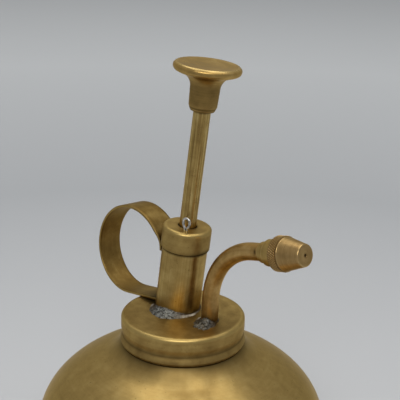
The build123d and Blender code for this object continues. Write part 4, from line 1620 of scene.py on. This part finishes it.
@dataclass(frozen=True)
class SolderRun:
    """A fillet of solder round the foot of a tube on the lid, in millimetres."""

    name: str
    node: str
    centre: Vector
    radius: float
    spread: float
    height: float
    lump_spread: float
    lump_height: float
    lump_bearing: float
    lump_width: float
    flux: tuple[Pair, ...]
    bite: float = 0.35
    least_spread: float = 0.3
    least_height: float = 0.25
    creep: float = 0.8
    bulge: float = 0.25
    sink: float = 0.03
    underside: float = 0.05
    grains: tuple[Pair, ...] = ((900.0, 0.35), (2100.0, 0.18))
    sides: int = 180
    steps: int = 12

    def wander(self, way: Vector, waves: float, shift: float = 0.0) -> float:
        """Noise round the tube, with its number of waves."""
        return noise.noise(Vector((way.x * waves, way.y * waves, self.radius + shift)))

    def mesh(self) -> Mesh:
        """Builds the fillet with its lump.

        Returns:
            Mesh with its flux and film marked.
        """
        rows: list[list[Vector]] = []
        flux: list[float] = []
        film: list[float] = []
        for side in range(self.sides):
            row: list[Vector] = []
            bearing = 360 * side / self.sides
            angle = math.radians(bearing)
            way = Vector((math.cos(angle), math.sin(angle), 0))
            lump = lobe(bearing, self.lump_bearing, self.lump_width)
            ragged = 0.5 * self.wander(way, 2.3) + 0.3 * self.wander(way, 6.1, 3)
            broken = 0.75 + 0.9 * self.wander(way, 9.0)
            pale = max(lobe(bearing, *line) for line in self.flux) * clamp(broken)
            wide = (self.spread + self.lump_spread * lump) * (1 + 0.7 * ragged)
            spread = max(self.least_spread, wide + self.creep * pale)
            tall = (self.height + self.lump_height * lump) * (1 + 0.6 * ragged)
            height = max(self.least_height, tall)
            bare = clamp(1.6 * lump - 0.25)
            for step in range(self.steps + 1):
                t = step / self.steps
                out = spread * (0.15 * t + 0.85 * t * t) + self.bulge * lump * math.sin(math.pi * t)
                rise = height * (1 - t) ** (1.6 - 0.7 * lump)
                spot = self.centre + way * ((self.radius - self.bite + self.bite * min(1, 4 * t) + out) * MM)
                spot.z += rise * MM
                rough = sum(noise.noise(spot * scale) * gain for scale, gain in self.grains)
                spot.z += rough * lump * math.sin(math.pi * min(t + 0.15, 1.0)) * MM
                spot.z = max(spot.z, self.centre.z - self.sink * MM)
                row.append(spot)
                flux.append(pale * clamp(4 * t - 1.6))
                film.append(1 - bare)
            row.append(self.centre + way * ((self.radius - self.bite) * MM) - UP * (self.underside * MM))
            flux.append(0.0)
            film.append(1 - bare)
            rows.append(row)
        mesh = woven(self.name, rows, True)
        outward(mesh)
        stamp(mesh, "flux", "FLOAT", flux)
        stamp(mesh, "film", "FLOAT", film)
        settle(mesh, sharp=80.0)
        return mesh


@dataclass
class SolderWork:
    """All the solder that shows."""

    finishes: Finishes

    def build(self) -> None:
        """Builds both fillets and gives the filler behind the loop its solder."""
        runs = (
            SolderRun(
                "barrel_fillet",
                "barrel_solder",
                PUMP.origin,
                radius=BARREL_RADIUS,
                spread=0.6,
                height=0.4,
                lump_spread=3.4,
                lump_height=2.5,
                lump_bearing=-75,
                lump_width=47,
                flux=((-14, 22), (-134, 9)),
            ),
            SolderRun(
                "pipe_fillet",
                "pipe_solder",
                PIPE_BASE,
                radius=TUBE_RADIUS,
                spread=0.5,
                height=0.4,
                lump_spread=6.0,
                lump_height=1.9,
                lump_bearing=-70,
                lump_width=44,
                flux=((-150, 20),),
            ),
        )
        for run in runs:
            place(run.mesh(), self.finishes.solder, "pump_head", "solder", run.node)
        coat(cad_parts["loop_solder"].data, self.finishes.solder)


@dataclass
class PumpWorks:
    """The works inside the barrel and the reservoir, which keep their solids apart from the spring."""

    finishes: Finishes
    spring_radius: float = 4.95
    spring_wire: float = 0.45
    spring_turns: float = 16.0
    spring_low: float = -38.73
    spring_high: float = 20.7
    stroke: float = 38.0

    def build(self, coil: Coil) -> None:
        """Winds the return spring and dresses the other works.

        Args:
            coil: recipe that winds the spring.
        """
        height = self.spring_high - self.spring_low - 2 * self.spring_wire
        sizes = (self.spring_turns, self.spring_radius, height, self.spring_wire)
        spring = coil.wind("spring_coil", *sizes, 10, self.finishes.steel)
        lift = Matrix.Translation((0, 0, (self.spring_low + self.spring_wire) * MM))
        spring.transform(PUMP.matrix() @ lift)
        settle(spring, sharp=60.0)
        piece = place(spring, self.finishes.steel, "pump_head", "steel", "return_spring")
        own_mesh(piece)
        dressed = {
            self.finishes.turned: (
                "rod_guide piston_stud piston_backing piston_spreader piston_nut foot_valve_body "
                "outlet_valve_body ball_pin swirl_core seam_ring"
            ),
            self.finishes.drawn: "suction_tube inlet_strainer cross_tube",
            self.finishes.steel: "inlet_ball outlet_ball",
            self.finishes.rubber: "lid_gasket",
            self.finishes.felt: "gland_packing",
            self.finishes.leather: "piston_cup",
            self.finishes.fibre: "nozzle_washer",
        }
        for finish, names in dressed.items():
            for name in names.split():
                coat(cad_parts[name].data, finish)
                LOG.info("%s: solid dressed in %s", name, finish.name)


@dataclass(frozen=True)
class SoftLamp:
    """A soft box, in metres, that looks at the object."""

    name: str
    place: Vector
    width: float
    height: float
    power: float

    def build(self, target: Vector) -> None:
        """Hangs the lamp.

        Args:
            target: point that it looks at.
        """
        light = bpy.data.lights.new(self.name, "AREA")
        light.shape = "RECTANGLE"
        light.size, light.size_y = self.width, self.height
        light.energy = self.power
        lamp = link(bpy.data.objects.new(self.name, light))
        lamp.location = self.place
        lamp.rotation_euler = (target - self.place).to_track_quat("-Z", "Y").to_euler()


@dataclass
class Studio:
    """Pale floor, soft light and the camera, in millimetres and degrees, with its focal length in pixels."""

    azimuth: float = 46.30
    elevation: float = 17.75
    distance: float = 348.86
    focal: float = 916.26
    pixels: int = 400
    sensor: float = 36.0
    aside: float = 5.47
    above: float = 42.93
    roll: float = 1.25
    # Floor colours paint light and shade: lighter near the object and far off, darker between, and shaded on
    # the camera's side
    near_floor_lit: str = "#c3c4c5"
    floor: str = "#aeb0b2"
    far_floor_lit: str = "#c9cbcc"
    front_floor_shade: str = "#a5a6a7"
    horizon: str = "#9d9e9f"
    zenith: str = "#b6b7b8"
    lopsided: float = 0.03
    floor_height: float = -0.4
    floor_radius: float = 4000.0
    front_reach: float = 200.0
    middle: float = 90.0

    def build(self) -> None:
        """Builds the floor, the lamps, the world and the camera."""
        a, e = math.radians(self.azimuth), math.radians(self.elevation)
        back = Vector((math.sin(a) * math.cos(e), -math.cos(a) * math.cos(e), math.sin(e)))
        right = Vector((math.cos(a), math.sin(a), 0))
        rise = back.cross(right)
        target = Vector((0, 0, LID_TOP)) + right * (self.aside * MM) + rise * (self.above * MM)
        self.shoot(target + back * (self.distance * MM), back, right, rise)
        self.ground(back)
        centre = UP * (self.middle * MM)
        above = centre + UP * 1.7 - back * 0.25 + right * 0.3
        for lamp in (
            SoftLamp("overhead", above, width=2.9, height=1.3, power=12.0),
            SoftLamp("left_strip", centre + UP * 1.6 - right * 0.48, width=1.7, height=0.16, power=1.5),
            SoftLamp("right_strip", centre + UP * 1.6 + right * 0.42, width=1.7, height=0.16, power=1.4),
            SoftLamp("key", centre + back * 1.1 - right * 0.1 + UP * 0.5, width=1.0, height=0.5, power=7.0),
        ):
            lamp.build(centre)
        self.sky(right)
        bpy.context.scene.view_settings.view_transform = "Standard"

    def shoot(self, where: Vector, back: Vector, right: Vector, rise: Vector) -> None:
        """Sets the camera.

        Args:
            where: its place.
            back: way from the object to the camera.
            right: level way to its right.
            rise: its way up before the roll.
        """
        data = bpy.data.cameras.new("camera")
        data.sensor_width = self.sensor
        data.lens = self.focal * self.sensor / self.pixels
        data.clip_start, data.clip_end = 0.01, 20
        camera = link(bpy.data.objects.new("camera", data))
        turn = Matrix((right, rise, back)).transposed().to_4x4()
        roll = Matrix.Rotation(math.radians(self.roll), 4, "Z")
        camera.matrix_world = Matrix.Translation(where) @ turn @ roll
        bpy.context.scene.camera = camera

    def ground(self, back: Vector) -> None:
        """Lays a round pale floor with light and shade painted into its colour, shaded on the camera's side.

        Args:
            back: way from the object to the camera.
        """
        rings = [Ring(reach * MM, self.floor_height * MM) for reach in (self.floor_radius, 0.0)]
        mesh = turned("floor", UPRIGHT, rings, False, sides=96)
        made, tree = blank("matt_studio_floor")
        where = add(tree, "ShaderNodeTexCoord", {}).outputs["Object"]
        away = add(tree, "ShaderNodeVectorMath", {0: where}, operation="LENGTH").outputs["Value"]
        # Painted light near the object and far off, painted shade between
        ramp = add(tree, "ShaderNodeValToRGB", {"Fac": away})
        stops = ramp.color_ramp.elements
        stops[0].position, stops[0].color = 0.1, linear(self.near_floor_lit)
        stops[1].position, stops[1].color = 1.0, linear(self.far_floor_lit)
        stops.new(0.4).color = linear(self.floor)
        # Painted shade on the camera's side
        toward = {0: where, 1: tuple(back)}
        front = add(tree, "ShaderNodeVectorMath", toward, operation="DOT_PRODUCT").outputs["Value"]
        span = {0: front, 1: 0.0, 2: self.front_reach * MM}
        near = add(tree, "ShaderNodeMapRange", span, interpolation_type="SMOOTHSTEP")
        greyer = {"Factor": near, 6: ramp, 7: linear(self.front_floor_shade)}
        colour = add(tree, "ShaderNodeMix", greyer, data_type="RGBA").outputs[2]
        feed(tree.nodes["Principled BSDF"], {"Base Color": colour, "Roughness": 0.9})
        coat(mesh, made)
        link(bpy.data.objects.new("floor", mesh))

    def sky(self, right: Vector) -> None:
        """Fills the world with a grey that is lighter overhead and on the left.

        Args:
            right: level way to the camera's right.
        """
        world = bpy.data.worlds.new("studio")
        bpy.context.scene.world = world
        world.use_nodes = True
        tree = world.node_tree
        way = add(tree, "ShaderNodeTexCoord", {}).outputs["Generated"]
        height = add(tree, "ShaderNodeSeparateXYZ", {0: way}).outputs["Z"]
        ramp = add(tree, "ShaderNodeValToRGB", {"Fac": height})
        stops = ramp.color_ramp.elements
        stops[0].position, stops[0].color = 0.0, linear(self.horizon)
        stops[1].position, stops[1].color = 0.9, linear(self.zenith)
        across = {0: way, 1: tuple(right)}
        side = add(tree, "ShaderNodeVectorMath", across, operation="DOT_PRODUCT").outputs["Value"]
        sweep = {0: side, 1: -0.6, 2: 0.6, 3: 1 + self.lopsided, 4: 1 - self.lopsided}
        level = add(tree, "ShaderNodeMapRange", sweep)
        feed(tree.nodes["Background"], {"Color": ramp, "Strength": level})


def main() -> None:
    """Builds the mister and its studio, and reports each piece."""
    logging.basicConfig(level=logging.INFO, format="%(message)s")
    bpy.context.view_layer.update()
    finishes = Finishes()
    stock, coil, ridges = RoundStock(), Coil(), GripRidges()
    Reservoir(finishes).build(coil)
    Lid(finishes).build()
    PumpBarrel(finishes).build(stock)
    Plunger(finishes).build()
    SprayPipe(finishes).build(stock)
    Nozzle(finishes).build(ridges)
    FingerLoop(finishes).build()
    SolderWork(finishes).build()
    PumpWorks(finishes).build(coil)
    Studio().build()


if __name__ == "__main__":
    main()
